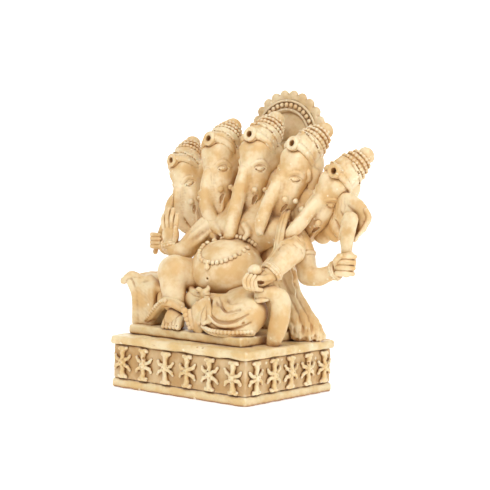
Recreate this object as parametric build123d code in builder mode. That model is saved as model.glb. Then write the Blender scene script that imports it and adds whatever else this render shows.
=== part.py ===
from build123d import *
import os
from math import cos, pi, radians, sin

# A five-headed, four-armed Ganesha seated on a stepped plinth: a cast resin idol.
# Origin: centre of the plinth's bottom face. +X is the viewer's right, +Y the back, +Z up. Millimetres.
# "right" and "left" in the names are the figure's own: its right side is at -X.

# Plinth
plinth_width = 74.0
plinth_depth = 61.0
foot_height = 3.9
dado_height = 14.6
cornice_height = 3.6
foot_inset = 0.8
dado_inset = 1.3
edge_round = 0.7
rosette_height = 12.6
rosette_width = 9.4
rosette_relief = 1.3
front_rosettes = 6
side_rosettes = 5

# Seat
board_left = -35.0
board_right = 26.5
board_front = -21.0
board_back = 27.0
board_height = 3.9

# Heads, in the order that a viewer reads them: root of the trunk, roll, turn, nod and scale
head_places = [
    (-36.3, 9.5, 82.5, -22.0, -8.0, 9.0, 0.89),
    (-18.6, 8.9, 90.9, -12.0, 0.0, -2.0, 0.98),
    (0.0, 10.3, 92.3, 0.0, 0.0, 0.0, 1.0),
    (18.4, 10.8, 89.8, 13.5, -9.0, -1.5, 0.97),
    (35.7, 13.4, 80.6, 31.0, -2.0, 5.5, 0.94),
]
head_tilt = 19.0
crown_tilt = 47.0
crown_radius = 7.3
knob_radius = 3.4
knob_length = 5.6
knob_hole_radius = 1.1

# Halo
halo_centre = (0.0, 41.0, 107.6)
halo_radius = 19.3
halo_thickness = 3.0
halo_scallops = 24
scallop_radius = 2.5
halo_bead_circle = 14.4
halo_beads = 36
bead_radius = 0.85

# Belly
belly_middle = 51.0
belly_half_width = 17.0
belly_round = 13.4
necklace_beads = 26
necklace_bead_radius = 0.85

seat_level = foot_height + dado_height + cornice_height
board_level = seat_level + board_height

os.makedirs("parts", exist_ok=True)
finished = {}


def write(part, name):
    """Label a finished sub-part, keep it for its neighbours and write its STEP file."""
    part.label = name
    finished[name] = part
    export_step(part, f"parts/{name}.step")


def boxes_meet(first, second):
    """True where two shapes' bounding boxes overlap."""
    a, b = first.bounding_box(), second.bounding_box()
    return (a.min.X < b.max.X and b.min.X < a.max.X and a.min.Y < b.max.Y and b.min.Y < a.max.Y
            and a.min.Z < b.max.Z and b.min.Z < a.max.Z)


def cleared(shape, *neighbours):
    """Each solid of the shape with its neighbours taken out, so that the pieces meet face to face."""
    kept = []
    for solid in shape.solids():
        for name in neighbours:
            if not boxes_meet(solid, finished[name]):
                continue
            with BuildPart() as trial:
                add(solid)
                add(finished[name], mode=Mode.SUBTRACT)
            rest = trial.part.solids().sort_by(SortBy.VOLUME)
            if rest and rest[-1].is_valid and 0 < rest[-1].volume <= solid.volume:
                solid = rest[-1]
        kept.append(solid)
    return Part(kept)


def section_plane(centre, normal, side):
    """A plane across a limb: its X axis is as near to side as the plane allows."""
    normal = Vector(*normal).normalized()
    side = Vector(*side)
    side = (side - normal * side.dot(normal)).normalized()
    return Plane(origin=centre, x_dir=side, z_dir=normal)


def limb(stations, side=(1, 0, 0), flatness=1.0):
    """A tapering limb, lofted through round or oval sections along its stations (x, y, z, radius)."""
    with BuildPart() as shape:
        for index, (x, y, z, radius) in enumerate(stations):
            before = Vector(*stations[max(index - 1, 0)][:3])
            after = Vector(*stations[min(index + 1, len(stations) - 1)][:3])
            with BuildSketch(section_plane((x, y, z), tuple(after - before), side)):
                Ellipse(radius, radius * flatness)
        loft()
    return shape.part


def egg(centre, along, half_length, radius):
    """An egg-shaped solid about the direction along, with tiny flats at its two ends."""
    along = Vector(*along).normalized()
    stations = []
    for step in (-0.97, -0.8, -0.4, 0.0, 0.4, 0.8, 0.97):
        place = Vector(*centre) + along * half_length * step
        stations.append((*place, radius * (1 - step**2) ** 0.5))
    return limb(stations, side=(0.5, 0.8, 0.33))


def joined(*shapes):
    """Several overlapping shapes fused into one solid."""
    with BuildPart() as union:
        for shape in shapes:
            add(shape)
    return union.part


def balls(places, radius):
    """A string of separate beads."""
    with BuildPart() as string:
        with Locations(*places):
            Sphere(radius)
    return string.part


def slab(width, depth, height, bottom, rounding):
    """A plinth course with rounded corners and eased top and bottom edges."""
    with BuildPart() as course:
        with BuildSketch(Plane.XY.offset(bottom)):
            RectangleRounded(width, depth, 1.2)
        extrude(amount=height)
        if rounding:
            fillet(course.faces().sort_by(Axis.Z)[-1].edges(), rounding)
            fillet(course.faces().sort_by(Axis.Z)[0].edges(), rounding * 0.6)
    return course.part


# Plinth: foot, dado and cornice
write(slab(plinth_width - 2 * foot_inset, plinth_depth - 2 * foot_inset, foot_height, 0, edge_round),
      "plinth_foot")
write(slab(plinth_width - 2 * dado_inset, plinth_depth - 2 * dado_inset, dado_height, foot_height, 0),
      "plinth_dado")
write(slab(plinth_width, plinth_depth, cornice_height, foot_height + dado_height, edge_round),
      "plinth_cornice")


def rosette_row(face_plane, count, run):
    """A row of star rosettes: a flared upright arm, four curved arms and a round boss."""
    pitch = run / count
    half = rosette_height / 2
    upright = [(-1.9, half), (-0.8, half - 3.4), (-0.8, -half + 3.4), (-1.9, -half),
               (1.9, -half), (0.8, -half + 3.4), (0.8, half - 3.4), (1.9, half)]
    with BuildPart() as row:
        with BuildSketch(face_plane):
            with GridLocations(pitch, 0, count, 1):
                Polygon(*upright)
                Circle(2.2)
                for slope in (36, -36):
                    SlotOverall(rosette_width / cos(radians(slope)) * 0.98, 1.9, rotation=slope)
        extrude(amount=rosette_relief)
        with BuildSketch(face_plane.offset(rosette_relief)):
            with GridLocations(pitch, 0, count, 1):
                Circle(1.2)
        extrude(amount=0.5, taper=20)
    return row.part


panel_middle = foot_height + dado_height / 2
front_face = plinth_depth / 2 - dado_inset
side_face = plinth_width / 2 - dado_inset
rosette_faces = {
    "rosettes_front": (Plane((0, -front_face, panel_middle), (1, 0, 0), (0, -1, 0)), front_rosettes),
    "rosettes_back": (Plane((0, front_face, panel_middle), (-1, 0, 0), (0, 1, 0)), front_rosettes),
    "rosettes_left": (Plane((side_face, 0, panel_middle), (0, 1, 0), (1, 0, 0)), side_rosettes),
    "rosettes_right": (Plane((-side_face, 0, panel_middle), (0, -1, 0), (-1, 0, 0)), side_rosettes),
}
for row_name, (row_plane, row_count) in rosette_faces.items():
    row_run = 2 * (side_face if row_count == front_rosettes else front_face)
    write(rosette_row(row_plane, row_count, row_run), row_name)

# Seat board, set back from the cornice and shorter than it at the viewer's right
with BuildPart() as board:
    board_middle = ((board_left + board_right) / 2, (board_front + board_back) / 2)
    with BuildSketch(Plane.XY.offset(seat_level)):
        with Locations(board_middle):
            RectangleRounded(board_right - board_left, board_back - board_front, 1.2)
    extrude(amount=board_height)
    fillet(board.faces().sort_by(Axis.Z)[-1].edges(), edge_round)
write(board.part, "seat_board")

# Belly, chest and shoulders: one loft of ovals (height, half width, half depth, distance back)
torso_sections = ((38.5, 8, 6, 2.5), (42, 13.8, 10.2, 2), (46, 16.3, 12.6, 2),
                  (51, belly_half_width, belly_round, 2),
                  (56, 16.5, 12.4, 2.4), (61, 16.8, 9.6, 5.6), (66, 19.5, 8, 13.5), (71, 22, 6.5, 16),
                  (77, 16, 5, 17.5))
with BuildPart() as trunk_of_body:
    for height, half_width, half_depth, back in torso_sections:
        with BuildSketch(Plane.XY.offset(height)):
            with Locations((0, back)):
                Ellipse(half_width, half_depth)
    loft()
torso = trunk_of_body.part

# Heads, each with its trunk, crown and forehead knob in the head's own tilted frame


def head_frame(place):
    """The head's plane (X to its side, Y to its back, Z to its top) and its scale."""
    x, y, z, roll, turn, nod, scale = place
    return Plane(Location((x, y, z)) * Rotation(0, 0, turn) * Rotation(0, roll, 0) * Rotation(nod, 0,
                                                                                              0)), scale


def tilted(frame, centre, lean):
    """A plane in the head's frame whose normal leans back from the head's Z axis."""
    origin = frame.from_local_coords(centre)
    tip = frame.from_local_coords((centre[0], centre[1] + sin(radians(lean)),
                                   centre[2] + cos(radians(lean))))
    return Plane(origin=origin, x_dir=frame.x_dir, z_dir=tip - origin)


def skull(frame, scale):
    """The face from chin to forehead: oval sections that lean back."""
    sections = ((4.5, -20.5, 1.8, 2.2), (6.0, -15, 4.0, 4.8), (8.6, -7, 6.0, 8.0),
                (11.3, 2, 6.9, 9.2), (14.0, 10, 6.9, 9.0), (16.5, 16, 5.8, 7.4))
    with BuildPart() as face:
        for back, up, half_width, half_depth in sections:
            with BuildSketch(tilted(frame, (0, back * scale, up * scale), head_tilt)):
                Ellipse(half_width * scale, half_depth * scale)
        loft()
    return face.part


def crown_dome(frame, scale):
    """A turned crown: forehead band, domed cap with three raised tiers and a ball on top."""
    r = crown_radius * scale
    base = tilted(frame, (0, 13.3 * scale, 13.6 * scale), crown_tilt)
    outward = base.x_dir.rotate(Axis((0, 0, 0), base.z_dir), 37)
    axis_plane = Plane(origin=base.origin, x_dir=outward, z_dir=outward.cross(base.z_dir))
    with BuildPart() as crown:
        with BuildSketch(axis_plane):
            with BuildLine():
                Polyline((0, -0.62 * r), (1.02 * r, -0.62 * r), (1.08 * r, -0.42 * r), (0.99 * r, -0.3 * r),
                         (0.98 * r, 0.62 * r), (1.04 * r, 0.7 * r), (0.98 * r, 0.94 * r),
                         (0.88 * r, 0.98 * r),
                         (0.92 * r, 1.2 * r), (0.8 * r, 1.27 * r), (0.8 * r, 1.46 * r),
                         (0.58 * r, 1.56 * r))
                ThreePointArc((0.58 * r, 1.56 * r), (0.45 * r, 1.96 * r), (0.1 * r, 2.14 * r))
                Polyline((0.1 * r, 2.14 * r), (0, 2.14 * r), (0, -0.62 * r))
            make_face()
        revolve(axis=Axis(base.origin, base.z_dir))
    return crown.part


def knob(frame, scale):
    """The pierced round boss that stands on the brow."""
    length = knob_length * scale
    face = tilted(frame, (0, 5.9 * scale, 16.6 * scale), 90 + 12)
    with BuildPart() as boss:
        with BuildSketch(face.offset(-0.25 * length)):
            Circle(knob_radius * scale)
            Circle(knob_hole_radius * scale, mode=Mode.SUBTRACT)
        extrude(amount=length)
        fillet(boss.edges().filter_by(GeomType.CIRCLE).sort_by(SortBy.RADIUS)[-2:], 1.0 * scale)
    return boss.part


# The trunks' centrelines and radii, from brow to tip
trunk_routes = [
    [(-36.4, 11.6, 82.7, 1.9), (-37.2, 11.5, 77.6, 2.4), (-36.8, 12.4, 72.2, 2.7), (-35.4, 14.0, 67.6, 2.6),
     (-32.8, 15.6, 65.6, 2.2), (-29.9, 17.0, 66.6, 1.9), (-27.7, 18.0, 69.0, 1.5)],
    [(-18.8, 10.8, 91.2, 1.7), (-18.9, 9.6, 85.1, 2.3), (-18.1, 8.8, 78.4, 2.9), (-16.5, 8.7, 73.9, 3.1),
     (-14.0, 9.4, 70.6, 2.8), (-11.0, 11.6, 69.8, 1.9)],
    [(0.0, 12.0, 92.3, 1.9), (0.0, 9.5, 85.7, 2.4), (-0.1, 7.6, 79.2, 2.8), (-0.2, 6.0, 74.0, 3.1),
     (-0.2, 4.4, 68.9, 3.1), (-0.3, 3.6, 65.8, 2.7), (-0.6, 3.2, 63.6, 1.6)],
    [(18.2, 12.6, 89.6, 1.8), (16.9, 10.0, 83.7, 2.2), (15.7, 8.2, 78.9, 2.6), (14.9, 6.8, 74.7, 2.8),
     (14.4, 5.6, 70.5, 2.6), (14.4, 5.2, 67.6, 1.8)],
    [(36.0, 15.4, 80.8, 1.6), (33.7, 12.5, 76.2, 2.2), (31.9, 10.3, 72.3, 2.7), (29.6, 7.9, 68.5, 2.8),
     (27.4, 6.5, 65.2, 2.1)],
]

head_names = [f"head_{number}" for number in range(1, 6)]
crown_names = [f"crown_{number}" for number in range(1, 6)]
frames = [head_frame(place) for place in head_places]
skulls = [skull(*frame) for frame in frames]
for number in (3, 2, 4, 1, 5):
    inner = {2: ["head_3"], 4: ["head_3"], 1: ["head_2"], 5: ["head_4"]}.get(number, [])
    write(cleared(skulls[number - 1], *inner), f"head_{number}")
for number in (3, 2, 4, 1, 5):
    inner = {2: ["crown_3"], 4: ["crown_3"], 1: ["crown_2"], 5: ["crown_4"]}.get(number, [])
    write(cleared(crown_dome(*frames[number - 1]), *head_names, *inner), f"crown_{number}")

with BuildPart() as knobs:
    for frame in frames:
        add(knob(*frame))
write(cleared(knobs.part, *head_names, *crown_names), "brow_knobs")

write(cleared(torso, *head_names), "torso")
for number, route in enumerate(trunk_routes, start=1):
    write(cleared(limb(route), *head_names, "torso"), f"trunk_{number}")

with BuildPart() as tusks:
    for frame, scale in frames:
        for side in (-1, 1):
            place = frame.from_local_coords((side * 5.0 * scale, -0.1 * scale, -7.4 * scale))
            with Locations(place):
                Sphere(1.25 * scale)
write(cleared(tusks.part, *head_names, *[f"trunk_{number}" for number in range(1, 6)]), "tusks")

# Drapery behind the figure: it stands on the seat, carries the heads and flares out at the foot
with BuildPart() as drapery:
    for height, half_width, half_depth, back in ((seat_level, 34.5, 9.5, 19.5), (37, 25.5, 8.5, 18.5),
                                                 (54, 22, 7.5, 17), (70, 27, 7, 19), (84, 33, 6.5, 23.5),
                                                 (94, 20, 5.5, 28)):
        with BuildSketch(Plane.XY.offset(height)):
            with Locations((0, back)):
                Ellipse(half_width, half_depth)
    loft()
write(cleared(drapery.part, "seat_board", "torso", "trunk_1", "trunk_2", "trunk_5", *head_names,
              *crown_names),
      "back_drapery")

# Legs and feet: the right knee is raised, the left leg is folded across the seat
right_leg = joined(
    limb([(-13, 4, 43.5, 8.0), (-16.5, -4, 47.6, 7.4), (-19.3, -9.8, 49.6, 6.6)], flatness=0.95),
    egg((-19.4, -10.0, 49.4), (0.1, 0.2, 1), 7.2, 6.8),
    limb([(-19.5, -10.4, 48.5, 6.3), (-17.6, -11.6, 42.5, 5.6), (-15.4, -12.6, 37, 4.4),
          (-14.7, -13.0, 33.6, 3.7)]),
)
write(cleared(right_leg, "torso", "back_drapery"), "right_leg")
right_foot = limb([(-14.2, -11.6, 32.2, 3.4), (-13.6, -14.6, 30.8, 3.9), (-12.6, -17.6, 29.0, 4.6),
                   (-11.4, -20.6, 27.2, 4.6)], flatness=0.5)
write(cleared(right_foot, "right_leg", "seat_board"), "right_foot")
left_leg = joined(
    limb([(8, 2, 37.6, 9.6), (15.5, -4, 36.4, 9.2), (21, -8, 35.6, 7.8)], side=(0, 1, 0)),
    egg((21.4, -8.8, 35.0), (1, 0, 0), 6.8, 7.8),
    limb([(20, -12, 32, 6.0), (13, -15, 31.5, 6.0), (6, -16.5, 31.5, 5.0), (1, -17.4, 31.5, 4.0)],
         side=(0, 1, 0)),
)
write(cleared(left_leg, "torso", "right_leg", "seat_board", "back_drapery"), "left_leg")
left_foot = limb([(3.6, -17.5, 37.5, 3.2), (1.2, -18.6, 33.6, 4.4), (1.6, -19.2, 29.4, 4.0),
                  (2.2, -19.2, 26.2, 3.2)],
                 side=(1, 0, 0), flatness=0.5)
write(cleared(left_foot, "left_leg", "seat_board", "right_foot"), "left_foot")

# Cloth: waist sash with its knot, the pleat that falls over the folded leg, and the beaded hems
sash_ring = egg((0, 0.5, 41.2), (0, 0, 1), 3.0, 17.0)
sash_knot = egg((1.8, -14.4, 41.6), (0.3, 0, 1), 3.0, 2.3)
write(cleared(joined(sash_ring, sash_knot), "torso", "right_leg", "left_leg", "back_drapery"), "waist_sash")
pleat = limb([(2.6, -16.0, 40.4, 2.4), (4.6, -18.4, 36.6, 3.2), (6.8, -20.4, 32.5, 4.4),
              (7.6, -20.6, 30.2, 4.8)],
             flatness=0.42)
write(cleared(pleat, "left_leg", "waist_sash", "left_foot"), "dhoti_pleat")


def bead_arc(centre, x_radius, y_radius, start, end, count, level):
    """Places evenly spread round part of an ellipse at one level."""
    angles = [radians(start + (end - start) * step / (count - 1)) for step in range(count)]
    return [(centre[0] + x_radius * cos(angle), centre[1] + y_radius * sin(angle),
             level) for angle in angles]


hem_places = bead_arc((14, -8.5), 14, 13.5, 236, 330, 5, board_level + 1.2)
write(cleared(limb([(*place, 1.5) for place in hem_places]), "left_leg", "seat_board", "dhoti_pleat"),
      "dhoti_hem")
ankle_hem = limb([(-29.5, -15.5, 27.8, 1.4), (-25.6, -16.2, 30.2, 1.9), (-21.0, -17.0, 34.4, 2.3),
                  (-15.5, -17.4, 36.6, 2.2), (-10.4, -16.6, 35.2, 1.9), (-8.0, -13.8, 33.4, 1.5)],
                  side=(0, 0, 1))
write(cleared(ankle_hem, "right_leg", "right_foot", "seat_board"), "ankle_hem")

# Scroll arms of the seat: a broad one beside the raised knee and a slender horn beside the folded one
with BuildPart() as scroll_panel:
    with BuildSketch(Plane.XZ.offset(16.5)):
        with BuildLine():
            Polyline((-25.5, board_level), (-36.2, board_level), (-37.4, 40.6))
            ThreePointArc((-37.4, 40.6), (-40.0, 41.9), (-43.4, 42.2))
            Line((-43.4, 42.2), (-43.6, 44.9))
            Spline((-43.6, 44.9), (-39.5, 48.0), (-33.5, 47.6), (-25.5, 42.5))
            Line((-25.5, 42.5), (-25.5, board_level))
        make_face()
    extrude(amount=-24.0)
    fillet(scroll_panel.edges().filter_by(Axis.Y).group_by(Axis.X)[0], 1.0)
write(cleared(scroll_panel.part, "right_leg", "ankle_hem", "back_drapery", "torso"), "seat_arm_right")
horn = joined(
    limb([(31.0, -4.6, seat_level, 3.4), (33.0, -4.4, 29.5, 4.2), (33.8, -4.2, 36.5, 4.2),
          (32.4, -4.2, 41.6, 4.0)]),
    egg((30.8, -5.6, 42.6), (1, 0.4, 0), 6.4, 3.2),
)
write(cleared(horn, "left_leg", "seat_board", "back_drapery", "dhoti_hem", "plinth_cornice"),
      "seat_arm_left")

# Front arms: the right palm is raised in blessing, the left hand holds a sweet
right_front_arm = joined(
    limb([(-17.5, 9, 67.5, 6.0), (-21.0, 5.4, 62.0, 5.2), (-24.4, 2.0, 57.4, 4.6)]),
    egg((-25.0, 1.4, 56.8), (1, 0.4, 0), 5.0, 4.5),
    limb([(-25.0, 1.2, 56.8, 4.2), (-28.2, 0.4, 57.6, 3.6), (-30.6, 0.1, 59.6, 3.1)]),
)
write(cleared(right_front_arm, "torso", "back_drapery", "right_leg", "trunk_1", "trunk_2", "head_1",
              "head_2"),
      "right_front_arm")
right_palm = limb([(-30.9, 0.2, 58.2, 3.1), (-30.6, 0.0, 63.5, 4.2), (-30.3, -0.2, 69.5, 4.2),
                   (-30.2, -0.2, 75.4, 3.2)],
                  flatness=0.4)
write(cleared(right_palm, "right_front_arm", "head_1", "trunk_1"), "right_front_hand")
left_front_arm = joined(
    limb([(22.0, 16.5, 67.0, 5.0), (27.0, 12.0, 63.6, 5.0), (31.2, 6.2, 60.6, 5.1),
          (33.0, 1.6, 59.2, 4.9)]),
    egg((33.0, 0.6, 58.6), (0.4, -0.6, -0.6), 5.4, 5.0),
    limb([(33.0, 0.4, 58.6, 4.9), (31.4, -3.0, 55.0, 4.4), (29.5, -6.6, 51.2, 3.4)]),
)
write(cleared(left_front_arm, "torso", "back_drapery", "head_5", "head_4", "trunk_5", "seat_arm_left",
              "left_leg"),
      "left_front_arm")
left_palm = limb([(29.6, -6.4, 51.3, 3.2), (27.2, -9.6, 49.2, 3.7), (24.2, -11.8, 48.2, 3.9),
                  (21.6, -12.8, 48.6, 3.0)],
                 side=(0, 0, 1))
write(cleared(left_palm, "left_front_arm", "torso", "left_leg", "seat_arm_left"), "left_front_hand")
write(cleared(egg((25.3, -11.0, 52.8), (0, 0, 1), 2.8, 2.9), "left_front_hand", "torso"), "sweet")

# Rear arms with their attributes
right_rear_arm = limb([(-22, 13.5, 63, 4.4), (-30, 12.5, 58.8, 3.9), (-37, 10.6, 57.4, 3.4),
                       (-43.5, 8.4, 59.0, 2.8)],
                      side=(0, 1, 0))
write(cleared(right_rear_arm, "torso", "back_drapery", "right_front_arm", "head_1", "trunk_1"),
      "right_rear_arm")
right_fist = egg((-44.6, 8.0, 60.4), (0.2, 0, 1), 4.6, 3.4)
write(cleared(right_fist, "right_rear_arm"), "right_rear_hand")
goad = limb([(-46.0, 7.8, 55.8, 1.2), (-43.6, 8.0, 63, 1.3), (-40.9, 8.2, 69, 1.5), (-39.2, 8.4, 75.5, 1.9),
             (-37.8, 8.6, 80.8, 1.2)], flatness=0.7)
write(cleared(goad, "right_rear_hand", "right_rear_arm", "head_1", "trunk_1", "crown_1"), "goad")
left_rear_arm = joined(
    limb([(26, 14, 66, 5.4), (31.5, 13.2, 61, 4.9), (33.8, 12.4, 54, 4.6), (35.2, 12, 50.2, 4.2)]),
    egg((35.4, 12, 50.0), (1, 0, 0.2), 5.0, 4.1),
    limb([(35, 12, 50.2, 4.0), (41, 12, 50.6, 3.7), (46, 12, 52.2, 3.2), (52.4, 12, 54.8, 2.9)],
         side=(0, 1, 0)),
)
write(cleared(left_rear_arm, "torso", "back_drapery", "left_front_arm", "head_5", "trunk_5"),
      "left_rear_arm")
left_fist = egg((54.2, 12, 56.4), (0.05, 0, 1), 6.6, 4.3)
write(cleared(left_fist, "left_rear_arm"), "left_rear_hand")
lotus = limb([(53.7, 12.2, 61.4, 2.4), (53.4, 12.6, 66, 3.4), (53.4, 13.2, 71, 5.4), (53.8, 14.0, 75, 5.8),
              (54.2, 14.8, 77.6, 3.8)], flatness=0.34)
write(cleared(lotus, "left_rear_hand", "head_5", "crown_5"), "lotus")

# Ears: a broad one spreads from head 5 to the lotus; small ones on heads 1 and 4. Beads hang between the
# heads
broad_ear_outline = [(42.0, 83.0), (51.0, 84.0), (57.2, 80.2), (60.0, 76.0), (58.4, 71.0), (54.6, 66.8),
                     (48.6, 65.0),
                     (42.0, 64.4), (36.6, 63.8), (31.5, 64.0), (33.0, 72.0)]
with BuildPart() as ears:
    with BuildSketch(Plane.XZ.offset(-18.0)):
        with BuildLine():
            Spline(*broad_ear_outline, periodic=True)
        make_face()
    extrude(amount=-3.4)
    for number, side, lobe in ((4, 1, 0.55), (1, -1, 1.0)):
        frame, scale = frames[number - 1]
        stations = [(side * 6.2, 12.0, 7.5, 3.0 * lobe), (side * 8.4, 14.0, 3.0, 5.4 * lobe),
                    (side * 9.0, 14.0, -3.5, 4.8 * lobe), (side * 8.2, 12.4, -9.5 * lobe - 1.0, 2.2 * lobe)]
        local = [(*frame.from_local_coords((x * scale, y * scale, z * scale)), r * scale)
                 for x, y, z, r in stations]
        add(limb(local, side=(0, 1, 0), flatness=0.36))
write(cleared(ears.part, *head_names, *crown_names, "lotus", "back_drapery", "goad", "torso"), "ears")

ear_drop_places = [tuple(frame.from_local_coords((8.6 * scale, 5.5 * scale, -7.6 * scale)))
                   for frame, scale in frames[:4]]
write(cleared(balls(ear_drop_places, 1.3), *head_names, "back_drapery", "ears"), "ear_drops")

# Bracelets
with BuildPart() as bracelets:
    for centre, along, radius in (((48.2, 12, 53.0), (1, 0, 0.4), 3.7),
                                  ((30.2, -5.4, 52.5), (-0.4, -0.7, -0.7), 4.4),
                                  ((-30.4, 0.1, 59.0), (-0.4, 0, 1), 3.9),
                                  ((-40.6, 9.5, 58.1), (1, -0.35, 0.2), 3.8)):
        with BuildSketch(section_plane(centre, along, (0, 1, 0.1))):
            Circle(radius)
        extrude(amount=1.1, both=True)
write(cleared(bracelets.part, "left_rear_arm", "left_front_arm", "right_front_arm", "right_rear_arm",
              "left_rear_hand", "left_front_hand", "right_front_hand", "right_rear_hand", "torso",
              "trunk_1",
              "left_leg", "goad"), "bracelets")

# Necklace, pendant and the sash over the figure's left shoulder
necklace_places = []
for step in range(necklace_beads):
    angle = 2 * pi * step / necklace_beads
    across = 1.5 + 9.6 * cos(angle)
    height = 59.4 + 4.9 * sin(angle)
    round_depth = belly_round * (1 - 0.035 * (height - belly_middle))
    front = 2.0 + 0.32 * (height - belly_middle) - round_depth * (1 - (across / belly_half_width) ** 2) ** 0.5
    necklace_places.append((across, front, height))
write(cleared(balls(necklace_places, necklace_bead_radius), "torso", "trunk_3", "trunk_2", "trunk_4"),
      "necklace")
write(cleared(egg((0.2, -11.2, 52.4), (0, 0, 1), 1.7, 1.3), "torso"), "pendant")
shoulder_sash = limb([(24.2, 7.4, 71.5, 1.7), (25.6, 4.6, 68.0, 1.8), (27.2, 0.8, 61.0, 1.7),
                      (26.4, -5.4, 54.8, 1.3)],
                     flatness=0.6)
write(cleared(shoulder_sash, "torso", "left_front_arm", "trunk_5", "trunk_4", "head_4", "head_5"),
      "shoulder_sash")

# Halo behind the middle head: a disc with a scalloped rim, a ring of beads between two raised rings
halo_plane = Plane(origin=halo_centre, x_dir=(1, 0, 0), z_dir=(0, -1, 0))
with BuildPart() as disc:
    with BuildSketch(halo_plane.offset(-halo_thickness)):
        Circle(halo_radius - 2.2)
    extrude(amount=halo_thickness)
    with BuildSketch(halo_plane):
        Circle(halo_bead_circle - 2.6)
    extrude(amount=-0.9, mode=Mode.SUBTRACT)
write(cleared(joined(disc.part, limb([(0, 29, 96, 6.5), (0, 34, 99, 6.0), (0, 41.5, 102, 5.5)])),
              *crown_names, "head_3", "head_2", "head_4", "back_drapery"), "halo_disc")
with BuildPart() as rim:
    with BuildSketch(halo_plane.offset(-halo_thickness)):
        Circle(halo_radius)
        with PolarLocations(halo_radius - 0.9, halo_scallops):
            Circle(scallop_radius)
        Circle(halo_radius - 2.2, mode=Mode.SUBTRACT)
    extrude(amount=halo_thickness - 0.3)
write(cleared(rim.part, *crown_names), "halo_rim")
with BuildPart() as rings:
    for radius in (halo_bead_circle - 2.0, halo_bead_circle + 1.7):
        with BuildSketch(halo_plane):
            Circle(radius + 0.45)
            Circle(radius - 0.45, mode=Mode.SUBTRACT)
        extrude(amount=0.6)
write(cleared(rings.part, *crown_names), "halo_rings")
with BuildPart() as halo_bead_ring:
    with Locations(halo_plane.offset(0.3)):
        with PolarLocations(halo_bead_circle, halo_beads):
            Sphere(bead_radius)
write(cleared(halo_bead_ring.part, "halo_disc", *crown_names), "halo_beads")
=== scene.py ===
# A cast-resin idol: a five-headed, four-armed Ganesha seated on a stepped plinth with a rosette frieze.
# Every piece is modelled like clay: shapes are blended into a block of signed distances, which is then
# skinned.
from math import cos, pi, radians, sin

import bpy
import numpy as np
from mathutils import Matrix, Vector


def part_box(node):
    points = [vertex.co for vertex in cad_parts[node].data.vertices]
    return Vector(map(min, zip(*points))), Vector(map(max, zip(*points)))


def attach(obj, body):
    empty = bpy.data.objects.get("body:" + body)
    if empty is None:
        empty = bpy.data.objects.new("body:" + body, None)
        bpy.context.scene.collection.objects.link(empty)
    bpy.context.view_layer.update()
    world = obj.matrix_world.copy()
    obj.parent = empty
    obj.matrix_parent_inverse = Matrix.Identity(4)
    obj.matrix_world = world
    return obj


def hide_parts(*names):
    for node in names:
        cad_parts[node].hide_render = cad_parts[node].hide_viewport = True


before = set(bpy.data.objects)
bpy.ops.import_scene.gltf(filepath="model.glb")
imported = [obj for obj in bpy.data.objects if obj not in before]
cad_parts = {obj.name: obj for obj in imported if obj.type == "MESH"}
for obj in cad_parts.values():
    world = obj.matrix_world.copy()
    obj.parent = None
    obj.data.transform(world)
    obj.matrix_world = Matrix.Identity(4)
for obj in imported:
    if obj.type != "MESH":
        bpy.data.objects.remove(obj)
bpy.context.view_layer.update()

MM = 0.001
BODY = "root"


# ---------------------------------------------------------------- modelling in clay (millimetres)

def unit(vector):
    vector = np.asarray(vector, float)
    return vector / np.linalg.norm(vector)


def turn(axis, degrees):
    """Rotation matrix about the X, Y or Z axis."""
    return np.array(Matrix.Rotation(radians(degrees), 3, axis))


def facing(normal, up=(0, 0, 1)):
    """Rotation matrix whose columns are a side direction, an upward direction and the normal."""
    normal = unit(normal)
    side = unit(np.cross(up, normal))
    return np.column_stack([side, np.cross(normal, side), normal])


def smooth_min(a, b, blend):
    if blend <= 0:
        return np.minimum(a, b)
    mix = np.maximum(blend - np.abs(a - b), 0) / blend
    return np.minimum(a, b) - mix * mix * blend / 4


class Shape:
    """A distance function and the box that it fills."""

    def __init__(self, low, high, distance):
        self.low = np.asarray(low, float)
        self.high = np.asarray(high, float)
        self.distance = distance


def ball(centre, radius):
    cx, cy, cz = centre
    return Shape(np.subtract(centre, radius), np.add(centre, radius),
                 lambda x, y, z: np.sqrt((x - cx) ** 2 + (y - cy) ** 2 + (z - cz) ** 2) - radius)


def egg(centre, radii, axes=None):
    """An ellipsoid; axes is a rotation matrix whose columns are its own directions."""
    cx, cy, cz = centre
    a, b, c = radii
    axes = np.eye(3) if axes is None else axes
    reach = np.sqrt((axes ** 2) @ (np.asarray(radii, float) ** 2))

    def distance(x, y, z):
        x, y, z = x - cx, y - cy, z - cz
        u = axes[0, 0] * x + axes[1, 0] * y + axes[2, 0] * z
        v = axes[0, 1] * x + axes[1, 1] * y + axes[2, 1] * z
        w = axes[0, 2] * x + axes[1, 2] * y + axes[2, 2] * z
        near = np.sqrt((u / a) ** 2 + (v / b) ** 2 + (w / c) ** 2)
        slope = np.sqrt((u / a ** 2) ** 2 + (v / b ** 2) ** 2 + (w / c ** 2) ** 2) + 1e-6
        return near * (near - 1) / slope
    return Shape(np.subtract(centre, reach), np.add(centre, reach), distance)


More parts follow.
